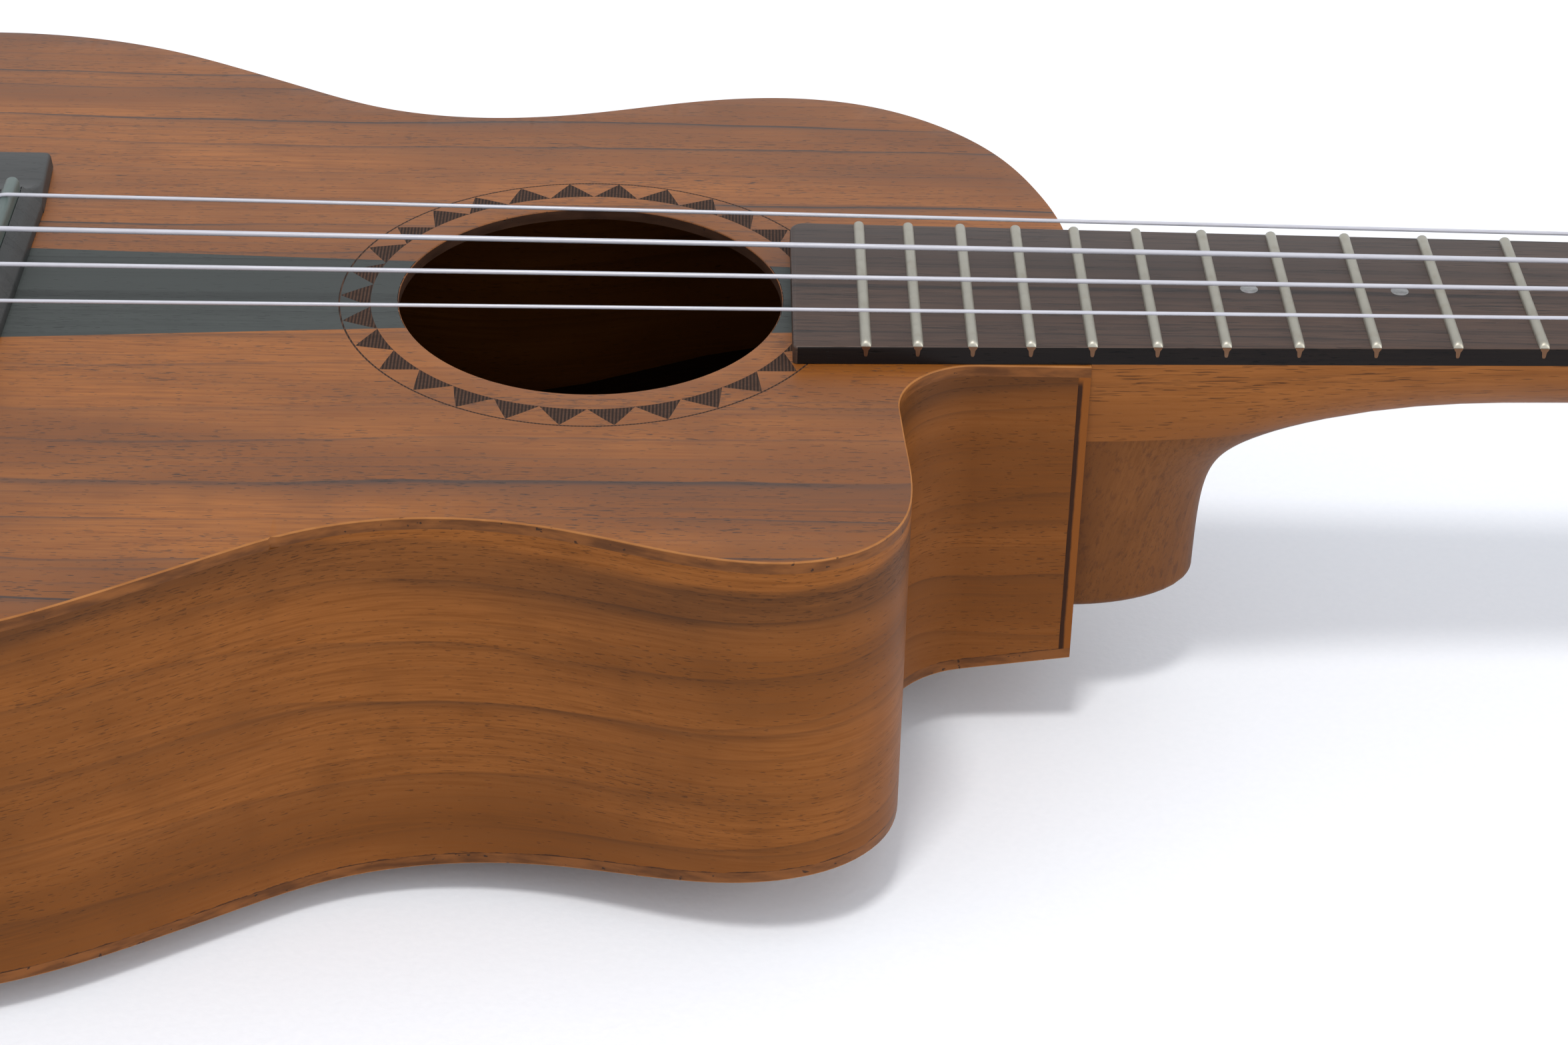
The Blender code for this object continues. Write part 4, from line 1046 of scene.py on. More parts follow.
def build_top():
    """The soundboard, its two stripes and the rosette ring, cut from one triangulation so that they meet."""
    rim_line = outline(RIM_SPACING)
    flat_rim = moved_loop(rim_line, EDGE_RADIUS)
    on_rim = rim_finder(flat_rim, rim_line)
    hole = circle(HOLE_RADIUS + EDGE_RADIUS, 120)
    stripes = {side: stripe_loop(*ends) for side, ends in STRIPES.items()}
    ring_inner, ring_outer = circle(ROSETTE_INNER, 120), circle(ROSETTE_OUTER, 120)
    line_inner, line_outer = circle(ROSETTE_TIP, 180), circle(ROSETTE_TIP + ROSETTE_LINE, 180)
    teeth = rosette_teeth()
    loops = [flat_rim, hole, ring_inner, ring_outer, line_inner, line_outer, *stripes.values(), *teeth]
    verts, faces = triangulated(loops, 7 * MM, *PLATE_GRID)
    centres = verts[faces].mean(axis=1)
    kept = inside(flat_rim, centres) & ~inside(hole, centres)
    faces, centres = faces[kept], centres[kept]
    in_stripe = {side: inside(loop, centres) for side, loop in stripes.items()}
    striped = in_stripe["lower"] | in_stripe["upper"]
    ring = inside(ring_outer, centres) & ~inside(ring_inner, centres)
    ring &= centres[:, 0] < BOARD_END_X + 6 * MM  # the rest lies under the fretboard

    def rim(x, y):
        away = math.hypot(x - HOLE_X, y)
        if away < HOLE_RADIUS + 2 * EDGE_RADIUS:
            share = HOLE_RADIUS / away
            return HOLE_X + (x - HOLE_X) * share, y * share
        return on_rim(x, y)

    depth_of = np.where(striped | ring, INLAY_DEPTH, 0.0)
    board = plate_mesh("soundboard_plate", verts, faces, depth_of, top_z, TOP_THICKNESS, rim)
    for face in board.polygons:
        if math.hypot(face.center.x - HOLE_X, face.center.y) < HOLE_RADIUS + EDGE_RADIUS:
            face.material_index = {1: 0, 2: 3}.get(face.material_index, 0)
    looks = [teak_top, teak_arris_wear_and_highlight, teak_edge, hole_wall]
    add_piece("soundboard_plate", board, looks, ["soundboard"])
    for side, within in in_stripe.items():
        stripe = inlay_mesh(f"stripe_{side}", verts, faces[within & ~ring])
        add_piece(f"stripe_{side}", stripe, [slate], [f"centre_stripe_{side}"])
    places = centres[ring]
    marked = inside(line_outer, places) & ~inside(line_inner, places)
    for tooth in teeth:
        marked |= inside(tooth, places)
    looks_of = np.where(marked, 2, striped[ring])
    band = inlay_mesh("rosette_ring", verts, faces[ring], looks_of)
    add_piece("rosette_ring", band, [teak_top, slate, burnt])


def build_back():
    rim_line = outline(RIM_SPACING)
    flat_rim = moved_loop(rim_line, EDGE_RADIUS)
    verts, faces = triangulated([flat_rim], 8 * MM, *PLATE_GRID)
    faces = faces[inside(flat_rim, verts[faces].mean(axis=1))]
    flat = np.zeros(len(faces))
    rim = rim_finder(flat_rim, rim_line)
    plate = plate_mesh("back_panel", verts, faces, flat, back_z, BACK_THICKNESS, rim, sign=1)
    # the inner face takes the inside's wood, darkened as painted shade
    plate = painted(plate, 3, lambda face: face.normal.z > 0.5)
    looks = [teak_back, teak_arris_wear_and_highlight, teak_edge, inner_wood]
    add_piece("back_panel", plate, looks, ["back_plate"])


def rib_mesh(name, outer, recess=0.0):
    """A bent rib between the two plates.

    One UV layer holds its grain's length and height, and the other its height over the back and depth under
    the top.
    """
    inner = moved_path(outer, RIB_THICKNESS)
    outer = moved_path(outer, recess) if recess else np.array(outer)
    along = np.concatenate([[0], np.cumsum(np.linalg.norm(np.diff(outer, axis=0), axis=1))])
    shape = bmesh.new()
    rows = 8
    rings = []
    for (ox, oy), (ix, iy) in zip(outer, inner):
        ring = []
        for (x, y), order in (((ox, oy), range(rows + 1)), ((ix, iy), range(rows, -1, -1))):
            low, high = back_z(x, y) + BACK_THICKNESS, top_z(x, y) - TOP_THICKNESS
            ring += [(x, y, low + (high - low) * step / rows) for step in order]
        rings.append(ring)
    rings = add_rings(shape, rings)
    length_of = {vert: length for ring, length in zip(rings, along) for vert in ring}
    grain = shape.loops.layers.uv.new("grain")
    edges = shape.loops.layers.uv.new("edges")
    for face in shape.faces:
        for loop in face.loops:
            x, y, z = loop.vert.co
            loop[grain].uv = (length_of[loop.vert], z)
            loop[edges].uv = (z - back_z(x, y) - BACK_THICKNESS, top_z(x, y) - TOP_THICKNESS - z)
    return mesh_from(shape, name)


def build_ribs():
    bass, treble = rim_halves(RIM_SPACING)
    end = JOINT_X - RIB_THICKNESS
    rib = painted(rib_mesh("rib_bass", bass), 1, lambda face: face.normal.y < -0.9 and face.center.x > end)
    add_piece("rib_bass", rib, [teak_side, glue], ["side_bass"])
    rib = rib_mesh("rib_treble", treble[:-1] + [(end - GLUE_LINE, CUTAWAY_Y)])
    add_piece("rib_treble", rib, [teak_side], ["side_treble"])
    corner = [(end - GLUE_LINE, CUTAWAY_Y), (end - GLUE_LINE / 2, CUTAWAY_Y), (end, CUTAWAY_Y)]
    add_piece("corner_glue", rib_mesh("corner_glue", corner, recess=0.03 * MM), [glue])


# ---------------------------------------------------------------- neck, heel and headstock


def board_half(x):
    share = (x - JOINT_X) / (SCALE_LENGTH - JOINT_X)
    return BOARD_HALF_AT_JOINT + share * (BOARD_HALF_AT_NUT - BOARD_HALF_AT_JOINT)


def heel_round(depth):
    """How far the heel has drawn in at a depth, to round the edge of its foot."""
    into = max(0, depth - HEEL_DEPTH + HEEL_ROUND)
    return HEEL_ROUND - math.sqrt(max(0, HEEL_ROUND**2 - into**2))


def surface_between(low, high, within):
    """Where within(place) stops being true between two places."""
    for _ in range(40):
        middle = (low + high) / 2
        if within(middle):
            low = middle
        else:
            high = middle
    return low


def roundness(x, depth):
    """0 on the neck's axis plane, 1 on its surface at the middle of the width."""
    reach = HEEL_REACH + HEEL_FLARE * math.exp(-(depth - HEEL_FLARE_DEPTH) / HEEL_FLARE_FADE)
    nose = ((x - JOINT_X) / (reach - heel_round(depth))) ** 2
    share = min(1, max(0, (x - JOINT_X - HEEL_REACH) / HEEL_TO_SHAFT))
    blend = share * share * (3 - 2 * share)
    towards_nut = (x - JOINT_X) / (SCALE_LENGTH - JOINT_X)
    shaft_depth = SHAFT_DEPTH + (SHAFT_DEPTH_AT_NUT - SHAFT_DEPTH) * towards_nut
    return blend * (depth / shaft_depth) ** 2 + (1 - blend) * nose


def neck_depth(x):
    if roundness(x, HEEL_DEPTH) < 1:
        return HEEL_DEPTH
    return surface_between(0.0, HEEL_DEPTH, lambda depth: roundness(x, depth) < 1)


def neck_side_view():
    """Rays over the neck's side: the x of each on the top edge, then its x and depth on the lower edge."""
    rays = []
    nose = JOINT_X + HEEL_REACH - HEEL_ROUND - 0.02 * MM
    for share in np.linspace(0, 1, 12):
        rays.append((JOINT_X + share * HEEL_TOP_REACH, JOINT_X + share * (nose - JOINT_X), HEEL_DEPTH))
    turns = np.radians(np.linspace(15, 90, 6))
    foot = HEEL_DEPTH - HEEL_ROUND * (1 - np.cos(turns))
    depths = [*foot, *np.linspace(foot[-1], HEEL_FLARE_DEPTH, 36)[1:]]
    start = JOINT_X + HEEL_TOP_REACH
    for step, depth in enumerate(depths):
        share = (step + 1) / len(depths)
        low = surface_between(nose, JOINT_X + 120 * MM, lambda x: roundness(x, depth) < 1)
        rays.append((start + share**1.4 * (low - start), low, depth))
    for x in np.linspace(rays[-1][1], SCALE_LENGTH + NUT_THICKNESS, 26)[1:]:
        rays.append((x, x, neck_depth(x)))
    return rays


def neck_blank():
    """The neck with its heel in one, running on under the headstock's face."""
    levels = [math.sin(turn) for turn in quarter_turns(NECK_LEVELS)]
    foot_end = JOINT_X + HEEL_REACH - HEEL_ROUND
    last = SCALE_LENGTH + NUT_THICKNESS
    rings = []
    for top_x, low_x, low_depth in neck_side_view():
        side = []
        share = min(1, max(0, (low_x - HEAD_START_X) / (last - HEAD_START_X)))
        square = 2 + 7 * share * share * (3 - 2 * share)
        for level in levels:
            x, depth = top_x + (low_x - top_x) * level, low_depth * level
            taper = 1 - HEEL_TAPER * (depth / HEEL_DEPTH) ** HEEL_TAPER_POWER
            taper += (1.01 - taper) * share
            round_off = max(0, 1 - roundness(x, depth) ** (square / 2)) ** (1 / square)
            if level == levels[-1] and low_x > foot_end:
                round_off = 0
            side.append((x, (board_half(x) * taper - heel_round(depth)) * round_off, -depth))
        rings.append([(x, -y, z) for x, y, z in side] + [(x, y, z) for x, y, z in side[::-1]])
    ending = rings[-1]
    for step in (0.4, 2, 4, 6, 8, 10):
        crown = -step * MM * math.tan(HEADSTOCK_ANGLE) - 1.2 * MM
        ring = []
        for _, y, z in ending:
            share = -z / SHAFT_DEPTH_AT_NUT
            ring.append((last + step * MM, y, crown + (z - crown) * share))
        rings.append(ring)
    return loft("neck_blank", rings, crease=50)


def sliced(mesh, height, upper):
    """The part of a closed mesh above or below a level, with a flat face over the cut."""
    shape = bmesh.new()
    shape.from_mesh(mesh)
    parting = bmesh.ops.bisect_plane(
        shape,
        geom=shape.verts[:] + shape.edges[:] + shape.faces[:],
        dist=0.001 * MM,
        plane_co=(0, 0, height),
        plane_no=(0, 0, 1),
        clear_inner=upper,
        clear_outer=not upper,
    )
    rim = [item for item in parting["geom_cut"] if isinstance(item, bmesh.types.BMEdge)]
    bmesh.ops.edgeloop_fill(shape, edges=rim)
    bmesh.ops.recalc_face_normals(shape, faces=shape.faces)
    return mesh_from(shape, mesh.name, crease=50)


def box_mesh(low, high):
    loop = [(low[0], low[1]), (high[0], low[1]), (high[0], high[1]), (low[0], high[1])]
    return rounded_prism("box", loop, low[2], high[2])


def headstock_outline():
    """The headstock's plan, anticlockwise: shoulders flaring from the nut to a shallow wave at the end."""
    spacing = 2.5 * MM
    middle = (HEADSTOCK_LENGTH - 1.5 * MM, 0)
    side = smooth_curve(in_metres(HEADSTOCK_SIDE), spacing).tolist()
    crown = smooth_curve([side[-1], (HEADSTOCK_LENGTH, 20 * MM), middle], spacing).tolist()[1:-1]
    half = side + crown
    loop = half + [middle] + [(u, -v) for u, v in half[::-1]]
    return loop[::-1]


def headstock_matrix():
    turn = Matrix.Rotation(HEADSTOCK_ANGLE, 4, "Y")
    return Matrix.Translation((SCALE_LENGTH + NUT_THICKNESS + 0.3 * MM, 0, 0)) @ turn


def tuner_places():
    """Each string's name and its machine's matrix on the headstock; the buttons point outwards."""
    places = {}
    for name, row, side in (("G", 0, 1), ("C", 1, 1), ("E", 1, -1), ("A", 0, -1)):
        turn = Matrix.Rotation(0 if side > 0 else math.pi, 4, "Z")
        places[name] = Matrix.Translation((TUNER_U[row], side * TUNER_V[row], 0)) @ turn
    return places


def build_neck():
    head = headstock_matrix()
    shaft = sliced(neck_blank(), SHAFT_GLUE_Z, True)
    block = sliced(neck_blank(), SHAFT_GLUE_Z, False)
    bores = []
    for matrix in tuner_places().values():
        bore = turned_mesh("bore", [(BORE_RADIUS, -30 * MM), (BORE_RADIUS, 10 * MM)])
        bores.append(placed(bore, matrix))
    plan = [(u - (5 * MM if u < 1e-6 else 0), v) for u, v in headstock_outline()]
    slab = rounded_prism("slab", plan, HEADSTOCK_BACK_W, -VENEER_THICKNESS, low_round=1.2 * MM)
    slab = placed(cut(slab, bores), head)
    over_nut = box_mesh((SCALE_LENGTH, -30 * MM, 0), (500 * MM, 30 * MM, 20 * MM))
    slab = cut(slab, [over_nut])
    neck = joined("neck_shaft", [shaft, slab])
    add_piece("neck_shaft", neck, [mahogany], ["neck"])
    add_piece("heel_block", block, [heel_wood], ["heel"])
    veneer = rounded_prism("veneer", headstock_outline(), -VENEER_THICKNESS, 0, high_round=0.4 * MM)
    veneer = cut(veneer, bores)
    add_piece("head_veneer", veneer, [teak_head], ["headstock_veneer"], matrix=head)


def fret_x(number):
    return SCALE_LENGTH * 2 ** (-number / 12)


def board_outline():
    """The fretboard's plan, anticlockwise, with its two corners beside the soundhole rounded."""
    end_half = board_half(BOARD_END_X)
    loop = []
    for side, radius in ((1, BOARD_CORNERS[1]), (-1, BOARD_CORNERS[0])):
        arc = []
        for turn in quarter_turns(6):
            x = BOARD_END_X + radius * (1 - math.sin(turn))
            arc.append((x, side * (end_half - radius * (1 - math.cos(turn)))))
        loop += arc if side > 0 else arc[::-1]
    stations = np.linspace(BOARD_END_X + 6 * MM, SCALE_LENGTH, 30).tolist()
    loop += [(x, -board_half(x)) for x in stations]
    return loop + [(x, board_half(x)) for x in stations[::-1]]


def build_fretboard():
    board = rounded_prism("fretboard_plank", board_outline(), 0.02 * MM, BOARD_TOP_Z, high_round=0.45 * MM)
    board = painted(board, 1, lambda face: face.normal.z < 0.6 and face.center.x > BOARD_END_X + 1 * MM)
    add_piece("fretboard_plank", board, [rosewood, board_edge], ["fretboard"])
    dots = []
    for number in DOT_FRETS:
        x = (fret_x(number) + fret_x(number - 1)) / 2
        profile = [(DOT_RADIUS, BOARD_TOP_Z - 1 * MM), (DOT_RADIUS, BOARD_TOP_Z + 0.01 * MM)]
        profile.append((0.8 * DOT_RADIUS, BOARD_TOP_Z + 0.03 * MM))
        dots.append(turned_mesh("dot", profile, at=(x, 0, 0)))
    add_piece("position_dots", joined("position_dots", dots), [pearl])


def build_frets():
    """Crowns with rounded ends, and the ends of their tangs in the board's sides."""
    crown = [(math.cos(turn), math.sin(turn)) for turn in circle_turns(24)[:13]]
    bury = 0.1 * MM
    meshes = []
    for number in range(1, FRET_COUNT + 1):
        x = fret_x(number)
        half = board_half(x) - bury
        stations = ((0, 0.1), (0.12, 0.5), (0.35, 0.8), (0.75, 0.96), (1.3, 1.0))
        rings = []
        for y, size in mirrored([(-half + away * MM, size) for away, size in stations]):
            wide, rise = FRET_WIDTH / 2 * (0.75 + 0.25 * size), (FRET_HEIGHT + bury) * size
            rings.append([(x + wide * a, y, BOARD_TOP_Z - bury + rise * b) for a, b in crown])
        meshes.append(dressed(loft("crown", rings, crease=50), fret_metal))
        reach = board_half(x) + 0.05 * MM
        rings = []
        for z, half_width in ((-1.9, 0.18), (-1.6, 0.32), (-0.7, 0.42), (-0.3, 0.7), (0.0, 0.8)):
            low, high = x - half_width * MM, x + half_width * MM
            corners = [(low, -reach), (high, -reach), (high, reach), (low, reach)]
            rings.append([(a, b, BOARD_TOP_Z + z * MM) for a, b in corners])
        meshes.append(dressed(loft("tang", rings), tang_metal))
    nodes = [f"fret_{number:02d}" for number in range(1, FRET_COUNT + 1)]
    add_piece("frets", joined("frets", meshes), [fret_metal, tang_metal], nodes)


# ---------------------------------------------------------------- nut, bridge and strings


def string_offsets(spacing):
    return [spacing * (1.5 - i) for i in range(4)]


def build_nut():
    half = BOARD_HALF_AT_NUT
    top = STRING_Z_AT_NUT - 0.3 * MM
    back = SCALE_LENGTH + NUT_THICKNESS
    side = [(SCALE_LENGTH + 0.05 * MM, 0), (back, 0), (back, top - 1.4 * MM), (SCALE_LENGTH + 1.4 * MM, top)]
    side.append((SCALE_LENGTH + 0.05 * MM, top))
    section = rounded_profile(side, 0.5 * MM)
    stations = mirrored([(-half, 0.96), (-half + 0.3 * MM, 1)])
    body = extruded_along_y("nut_bar", section, stations)
    slots = []
    for offset, (_, thickness) in zip(string_offsets(SPACING_AT_NUT), STRINGS):
        profile = [(thickness / 2 + 0.05 * MM, 0), (thickness / 2 + 0.05 * MM, 30 * MM)]
        slot = turned_mesh("slot", profile, 16, axis="x")
        for rise in (0.0, 1.2 * MM):
            place = Matrix.Translation((SCALE_LENGTH - 10 * MM, offset, STRING_Z_AT_NUT + rise))
            slots.append(placed(slot.copy(), place))
    add_piece("nut_bar", cut(body, slots), [bone], ["nut"])


def build_bridge():
    """A tie-block bridge: a raised middle with a saddle slot and a trough, and a low wing at each end."""
    slot_half = SADDLE_THICKNESS / 2 + 0.05 * MM
    front, back = BRIDGE_FRONT_X, BRIDGE_BACK_X
    middle = [
        (front - 0.1 * MM, -0.1 * MM),
        (front - 0.3 * MM, 1.5 * MM),
        (front - 1.9 * MM, 3.7 * MM),
        (SADDLE_X + slot_half, 5.4 * MM),
        (SADDLE_X + slot_half, 2.2 * MM),
        (SADDLE_X - slot_half, 2.2 * MM),
        (SADDLE_X - slot_half, 5.4 * MM),
        (-8.5 * MM, 2.9 * MM),
        (-13.5 * MM, 2.9 * MM),
        (-14 * MM, TIE_BLOCK_TOP),
        (back + 1.6 * MM, TIE_BLOCK_TOP),
        (back, 5.2 * MM),
        (back, -0.1 * MM),
    ]
    half = TIE_BLOCK_HALF
    stations = mirrored([(-half, 0.94), (-half + 0.5 * MM, 1)])
    raised = extruded_along_y("raised", rounded_profile(middle, 0.35 * MM), stations)
    holes = []
    bore = [(TIE_HOLE_RADIUS, -30 * MM), (TIE_HOLE_RADIUS, -10 * MM)]
    for offset in string_offsets(SPACING_AT_SADDLE):
        holes.append(turned_mesh("tie_hole", bore, 20, axis="x", at=(0, offset, TIE_HOLE_Z)))
    meshes = [cut(raised, holes)]
    start, end = WING_STATIONS[0][0], WING_STATIONS[-1][0]
    for side in (-1, 1):
        rings = []
        for y, rise, share in WING_STATIONS:
            nose = front - WING_TAPER * (y - start) / (end - start)
            low, high = 1.5 + (rise - 2.2) * share, 3.7 + (rise - 3.8) * share
            wing = [
                (nose, -0.1 * MM),
                (nose - 0.3 * MM, low * MM),
                (nose - (1.9 - 1.2 * share) * MM, high * MM),
                (nose - (2.9 - 1.2 * share) * MM, rise * MM),
                (back + 1.4 * MM, rise * MM),
                (back + 0.03 * MM, (rise - 1) * MM),
                (back + 0.03 * MM, -0.1 * MM),
            ]
            rings.append([(p.x, side * y * MM, p.y) for p in rounded_profile(wing, 0.22 * MM)])
        meshes.append(loft("wing", rings))
    add_piece("bridge_body", joined("bridge_body", meshes), [charcoal], ["bridge"])


def build_saddle():
    half = SADDLE_THICKNESS / 2
    top = STRING_Z_AT_SADDLE - 0.33 * MM
    side = [(SADDLE_X - half, 2.3 * MM), (SADDLE_X + half, 2.3 * MM), (SADDLE_X + half, top - 0.9 * MM)]
    side += [(SADDLE_X + 0.5 * half, top), (SADDLE_X - 0.5 * half, top), (SADDLE_X - half, top - 0.9 * MM)]
    reach = SADDLE_HALF_LENGTH
    stations = mirrored([(-reach, 0.85), (-reach + 0.3 * MM, 0.96), (-reach + 0.9 * MM, 1)])
    bar = extruded_along_y("saddle_bar", rounded_profile(side, 0.5 * MM), stations)
    add_piece("saddle_bar", bar, [saddle_grey], ["saddle"])


def tie_route(across, radius):
    """The string's tied end: through the block, back over its top and twisted under itself."""
    behind = BRIDGE_BACK_X - radius
    over = TIE_BLOCK_TOP + radius
    aside = 2.2 * radius
    points = []
    for x, share, z in TIE_ROUTE:
        points.append((x * MM, across + share * aside, over if z is None else z * MM))
    points += [(behind - 0.1 * MM, across, 5.4 * MM), (behind + 0.2 * MM, across, TIE_HOLE_Z)]
    points += [(-21 * MM, across, TIE_HOLE_Z), (-14.5 * MM, across, TIE_HOLE_Z)]
    return points


def string_route(index, name):
    """Tied end, saddle, nut, and a winding round the post, as points in the instrument's axes."""
    at_saddle = string_offsets(SPACING_AT_SADDLE)[index]
    at_nut = string_offsets(SPACING_AT_NUT)[index]
    thickness = STRINGS[index][1]
    route = [
        *smooth_curve(tie_route(at_saddle, thickness / 2), 0.6 * MM),
        (-12.6 * MM, at_saddle, TIE_HOLE_Z),
        (SADDLE_X - 1.6 * MM, at_saddle, STRING_Z_AT_SADDLE - 0.7 * MM),
        (SADDLE_X - 0.6 * MM, at_saddle, STRING_Z_AT_SADDLE - 0.1 * MM),
        (SADDLE_X + 0.4 * MM, at_saddle, STRING_Z_AT_SADDLE),
        (SCALE_LENGTH, at_nut, STRING_Z_AT_NUT),
        (SCALE_LENGTH + NUT_THICKNESS, at_nut, STRING_Z_AT_NUT - 0.3 * MM),
    ]
    points = [Vector(point) for point in route]
    post = headstock_matrix() @ tuner_places()[name]
    side = 1 if at_nut > 0 else -1
    radius = POST_RADIUS - 0.2 * MM + thickness / 2
    head = headstock_matrix().to_3x3()
    steps_per_turn = 28
    for step in range(round(WINDING_TURNS * steps_per_turn) + 1):
        angle = 2 * math.pi * step / steps_per_turn
        across = -side * radius * math.cos(angle)
        ahead = radius * math.sin(angle)
        drop = 8.2 * MM - step * (thickness + 0.05 * MM) / steps_per_turn
        points.append(post.translation + head @ Vector((ahead, across, drop)))
    return points


def build_strings():
    for index, (name, thickness) in enumerate(STRINGS):
        line = tube(f"string_{name}_line", string_route(index, name), thickness / 2)
        add_piece(f"string_{name}_line", line, [nylon], [f"string_{name}"])


# ---------------------------------------------------------------- tuning machines


def knob_mesh():
    """An oval paddle with rounded edges and a collar on its shaft."""
    length, wide, thick = BUTTON_SIZE
    rings = []
    sections = ((0, 0.30), (0.03, 0.42), (0.1, 0.60), (0.22, 0.84), (0.36, 0.96), (0.52, 1), (0.68, 0.97))
    sections += ((0.82, 0.86), (0.92, 0.7), (0.98, 0.5), (1, 0.3))
    for share, size in sections:
        ring = []
        for angle in circle_turns(32):
            u = size * wide / 2 * math.cos(angle)
            w = (0.35 + 0.65 * size) * thick / 2 * math.sin(angle)
            ring.append((u, BUTTON_START + share * length, w))
        rings.append(ring)
    paddle = dressed(loft("paddle", rings, crease=60), black_knob)
    profile = [(SHAFT_RADIUS, 2 * MM), (SHAFT_RADIUS, BUTTON_START - 2 * MM)]
    collar = ((2.1, -1.7), (2.3, -0.4), (1.9, 0.3))
    profile += [(radius * MM, BUTTON_START + along * MM) for radius, along in collar]
    shaft = dressed(turned_mesh("shaft", profile, axis="y"), nickel)
    return joined("knob", [paddle, shaft])


def housing_mesh():
    """The cast cover with its shaft sleeve and two fixing screws."""
    face, roof = HEADSTOCK_BACK_W, GEAR_W - 4.6 * MM
    corners = [(-7.4, -5.8), (-5.8, -7.4), (10.2, -7.4), (11.8, -5.8), (11.8, 5.8), (10.2, 7.4)]
    corners += [(-5.8, 7.4), (-7.4, 5.8)]
    plan = [(p.x, p.y) for p in rounded_profile(in_metres(corners), 1.2 * MM)]
    cover = rounded_prism("cover", plan, roof, face, low_round=1.1 * MM)
    sleeve = in_metres([(2.4, 5), (2.4, 11.6), (2.0, 12.2)])
    meshes = [cover, turned_mesh("sleeve", sleeve, axis="y", at=(WORM_CENTRE, 0, GEAR_W))]
    for v in (-9.2 * MM, 9.2 * MM):
        ear = [(2.4 * MM, face - 0.01 * MM), (2.4 * MM, face - 1.0 * MM), (2.1 * MM, face - 1.3 * MM)]
        ear = turned_mesh("ear", ear, at=(0, v, 0))
        head = [(1.6 * MM, face - 1.2 * MM), (1.5 * MM, face - 1.8 * MM), (1.0 * MM, face - 2.2 * MM)]
        head = turned_mesh("screw", head, at=(0, v, 0))
        groove = box_mesh((-0.2 * MM, -2 * MM, face - 3 * MM), (0.2 * MM, 2 * MM, face - 1.9 * MM))
        groove = placed(groove, Matrix.Translation((0, v, 0)) @ Matrix.Rotation(0.5, 4, "Z"))
        meshes += [ear, cut(head, [groove])]
    return joined("housing", meshes)


def post_mesh():
    """A string post with a waist for the winding and an eye through it."""
    full, waist, top = POST_RADIUS, POST_RADIUS - 0.5 * MM, POST_HEIGHT
    profile = [
        (full, HEADSTOCK_BACK_W + 0.05 * MM),
        (full, 4.6 * MM),
        (full - 0.15 * MM, 5.2 * MM),
        (waist, 6.2 * MM),
        (waist - 0.1 * MM, 8 * MM),
        (waist, 9.8 * MM),
        (full - 0.1 * MM, 10.8 * MM),
        (full, 11.2 * MM),
        (full, top - 0.7 * MM),
        (full - 0.3 * MM, top - 0.2 * MM),
        (full - 0.8 * MM, top),
    ]
    eye = in_metres([(0.8, -10), (0.8, 10)])
    return cut(turned_mesh("post", profile), [turned_mesh("eye", eye, 16, axis="x", at=(0, 0, 9.2 * MM))])


def bushing_mesh():
    """The ferrule round a post on the headstock's face."""
    outer, inner = 5.2 * MM, POST_RADIUS + 0.15 * MM
    profile = [(outer, -0.3 * MM), (outer, 0.5 * MM), (outer - 0.5 * MM, 1.0 * MM), (4.2 * MM, 1.1 * MM)]
    profile += [(3.9 * MM, 1.9 * MM), (inner + 0.3 * MM, 2.1 * MM)]
    ring = turned_mesh("bushing", profile)
    bore = turned_mesh("bushing_bore", [(inner, -5 * MM), (inner, 5 * MM)])
    return cut(ring, [bore])


def build_tuners():
    head = headstock_matrix()
    bushings = []
    for name, matrix in tuner_places().items():
        place = head @ matrix
        axis = place @ Matrix.Translation((WORM_CENTRE, 0, GEAR_W))
        for part, mesh, looks, node, body, matrix_of in (
            ("cover", housing_mesh(), [nickel], "housing", BODY, place),
            ("post", post_mesh(), [nickel], "post", f"post_{name}", place),
            ("knob", knob_mesh(), [black_knob, nickel], "button", f"button_{name}", axis),
        ):
            nodes = [f"tuner_{name}_{node}"]
            add_piece(f"machine_{name}_{part}", mesh, looks, nodes, body, matrix_of)
        bushings.append(placed(bushing_mesh(), matrix))
    add_piece("post_bushings", joined("post_bushings", bushings), [nickel], matrix=head)


# ---------------------------------------------------------------- inside, surroundings and camera


def dress_inner_nodes():
    """The CAD nodes that stay in view through the soundhole get their woods: spruce for the braces and the
    bridge plate, and for the rest mahogany darkened as painted shade inside the body.
    """
    for name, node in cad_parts.items():
        if node.hide_render:
            continue
        # all but the braces and the bridge plate take the inside's wood, darkened as painted shade
        look = spruce if "brace" in name or name == "bridge_plate" else inner_wood
        node.data.materials.clear()
        node.data.materials.append(look)


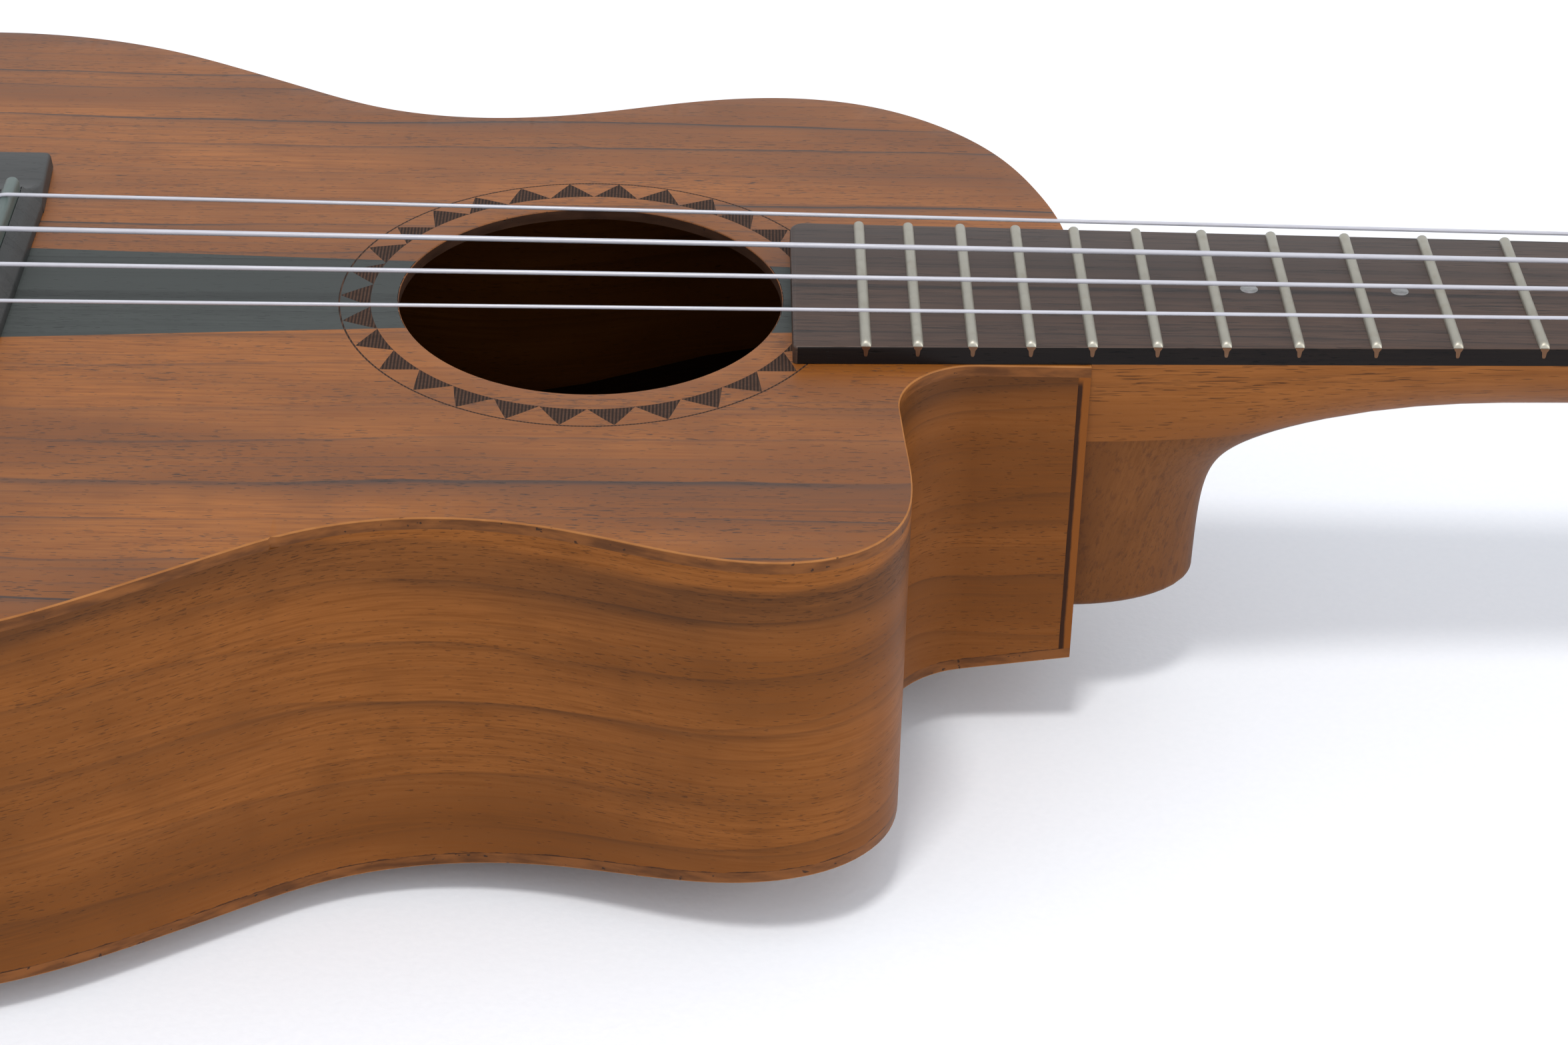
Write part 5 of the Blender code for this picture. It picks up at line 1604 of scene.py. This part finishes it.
def area_light(name, place, target, size, power, colour=(1, 1, 1)):
    data = bpy.data.lights.new(name, "AREA")
    data.shape = "RECTANGLE"
    data.size, data.size_y = size
    data.energy = power
    data.color = colour
    lamp = in_scene(name, data)
    lamp.location = place
    lamp.rotation_mode = "QUATERNION"
    lamp.rotation_quaternion = (Vector(place) - Vector(target)).to_track_quat("Z", "Y")


def build_surroundings():
    loop = [(-4, -3), (4, -3), (4, 5), (-4, 5)]
    floor = in_scene("table", dressed(rounded_prism("table", loop, -0.02, -0.0002), table))
    world = bpy.data.worlds.new("studio")
    bpy.context.scene.world = world
    world.use_nodes = True
    background = world.node_tree.nodes["Background"]
    background.inputs["Color"].default_value = (0.94, 0.965, 1.0, 1)
    background.inputs["Strength"].default_value = 1.0
    area_light("overhead", (-0.30, -0.70, 1.85), (0, 0, 0.05), (0.3, 0.3), 17, (1, 0.97, 0.93))
    area_light("side_fill", (1.4, -0.8, 0.7), (-0.1, 0, 0.05), (1.2, 1.0), 11, (1, 0.98, 0.95))


def build_camera():
    """The camera looks down across the cutaway, a little rolled."""
    level = math.cos(CAMERA_ELEVATION)
    away = (math.sin(CAMERA_AZIMUTH) * level, -math.cos(CAMERA_AZIMUTH) * level, math.sin(CAMERA_ELEVATION))
    back = Vector(away)
    right = Vector((0, 0, 1)).cross(back).normalized()
    up = back.cross(right)
    turned_right = right * math.cos(CAMERA_ROLL) + up * math.sin(CAMERA_ROLL)
    turned_up = up * math.cos(CAMERA_ROLL) - right * math.sin(CAMERA_ROLL)
    data = bpy.data.cameras.new("camera")
    data.lens = LENS
    data.sensor_width = SENSOR_WIDTH
    data.clip_start = 0.05
    camera = in_scene("camera", data)
    axes = Matrix((turned_right, turned_up, back)).transposed().to_4x4()
    camera.matrix_world = Matrix.Translation(SHIFT + CAMERA_PLACE) @ axes
    bpy.context.scene.camera = camera


build_camera()
build_top()
build_back()
build_ribs()
build_neck()
build_fretboard()
build_frets()
build_nut()
build_bridge()
build_saddle()
build_strings()
build_tuners()
dress_inner_nodes()
build_surroundings()
bpy.context.scene.view_settings.view_transform = "Standard"
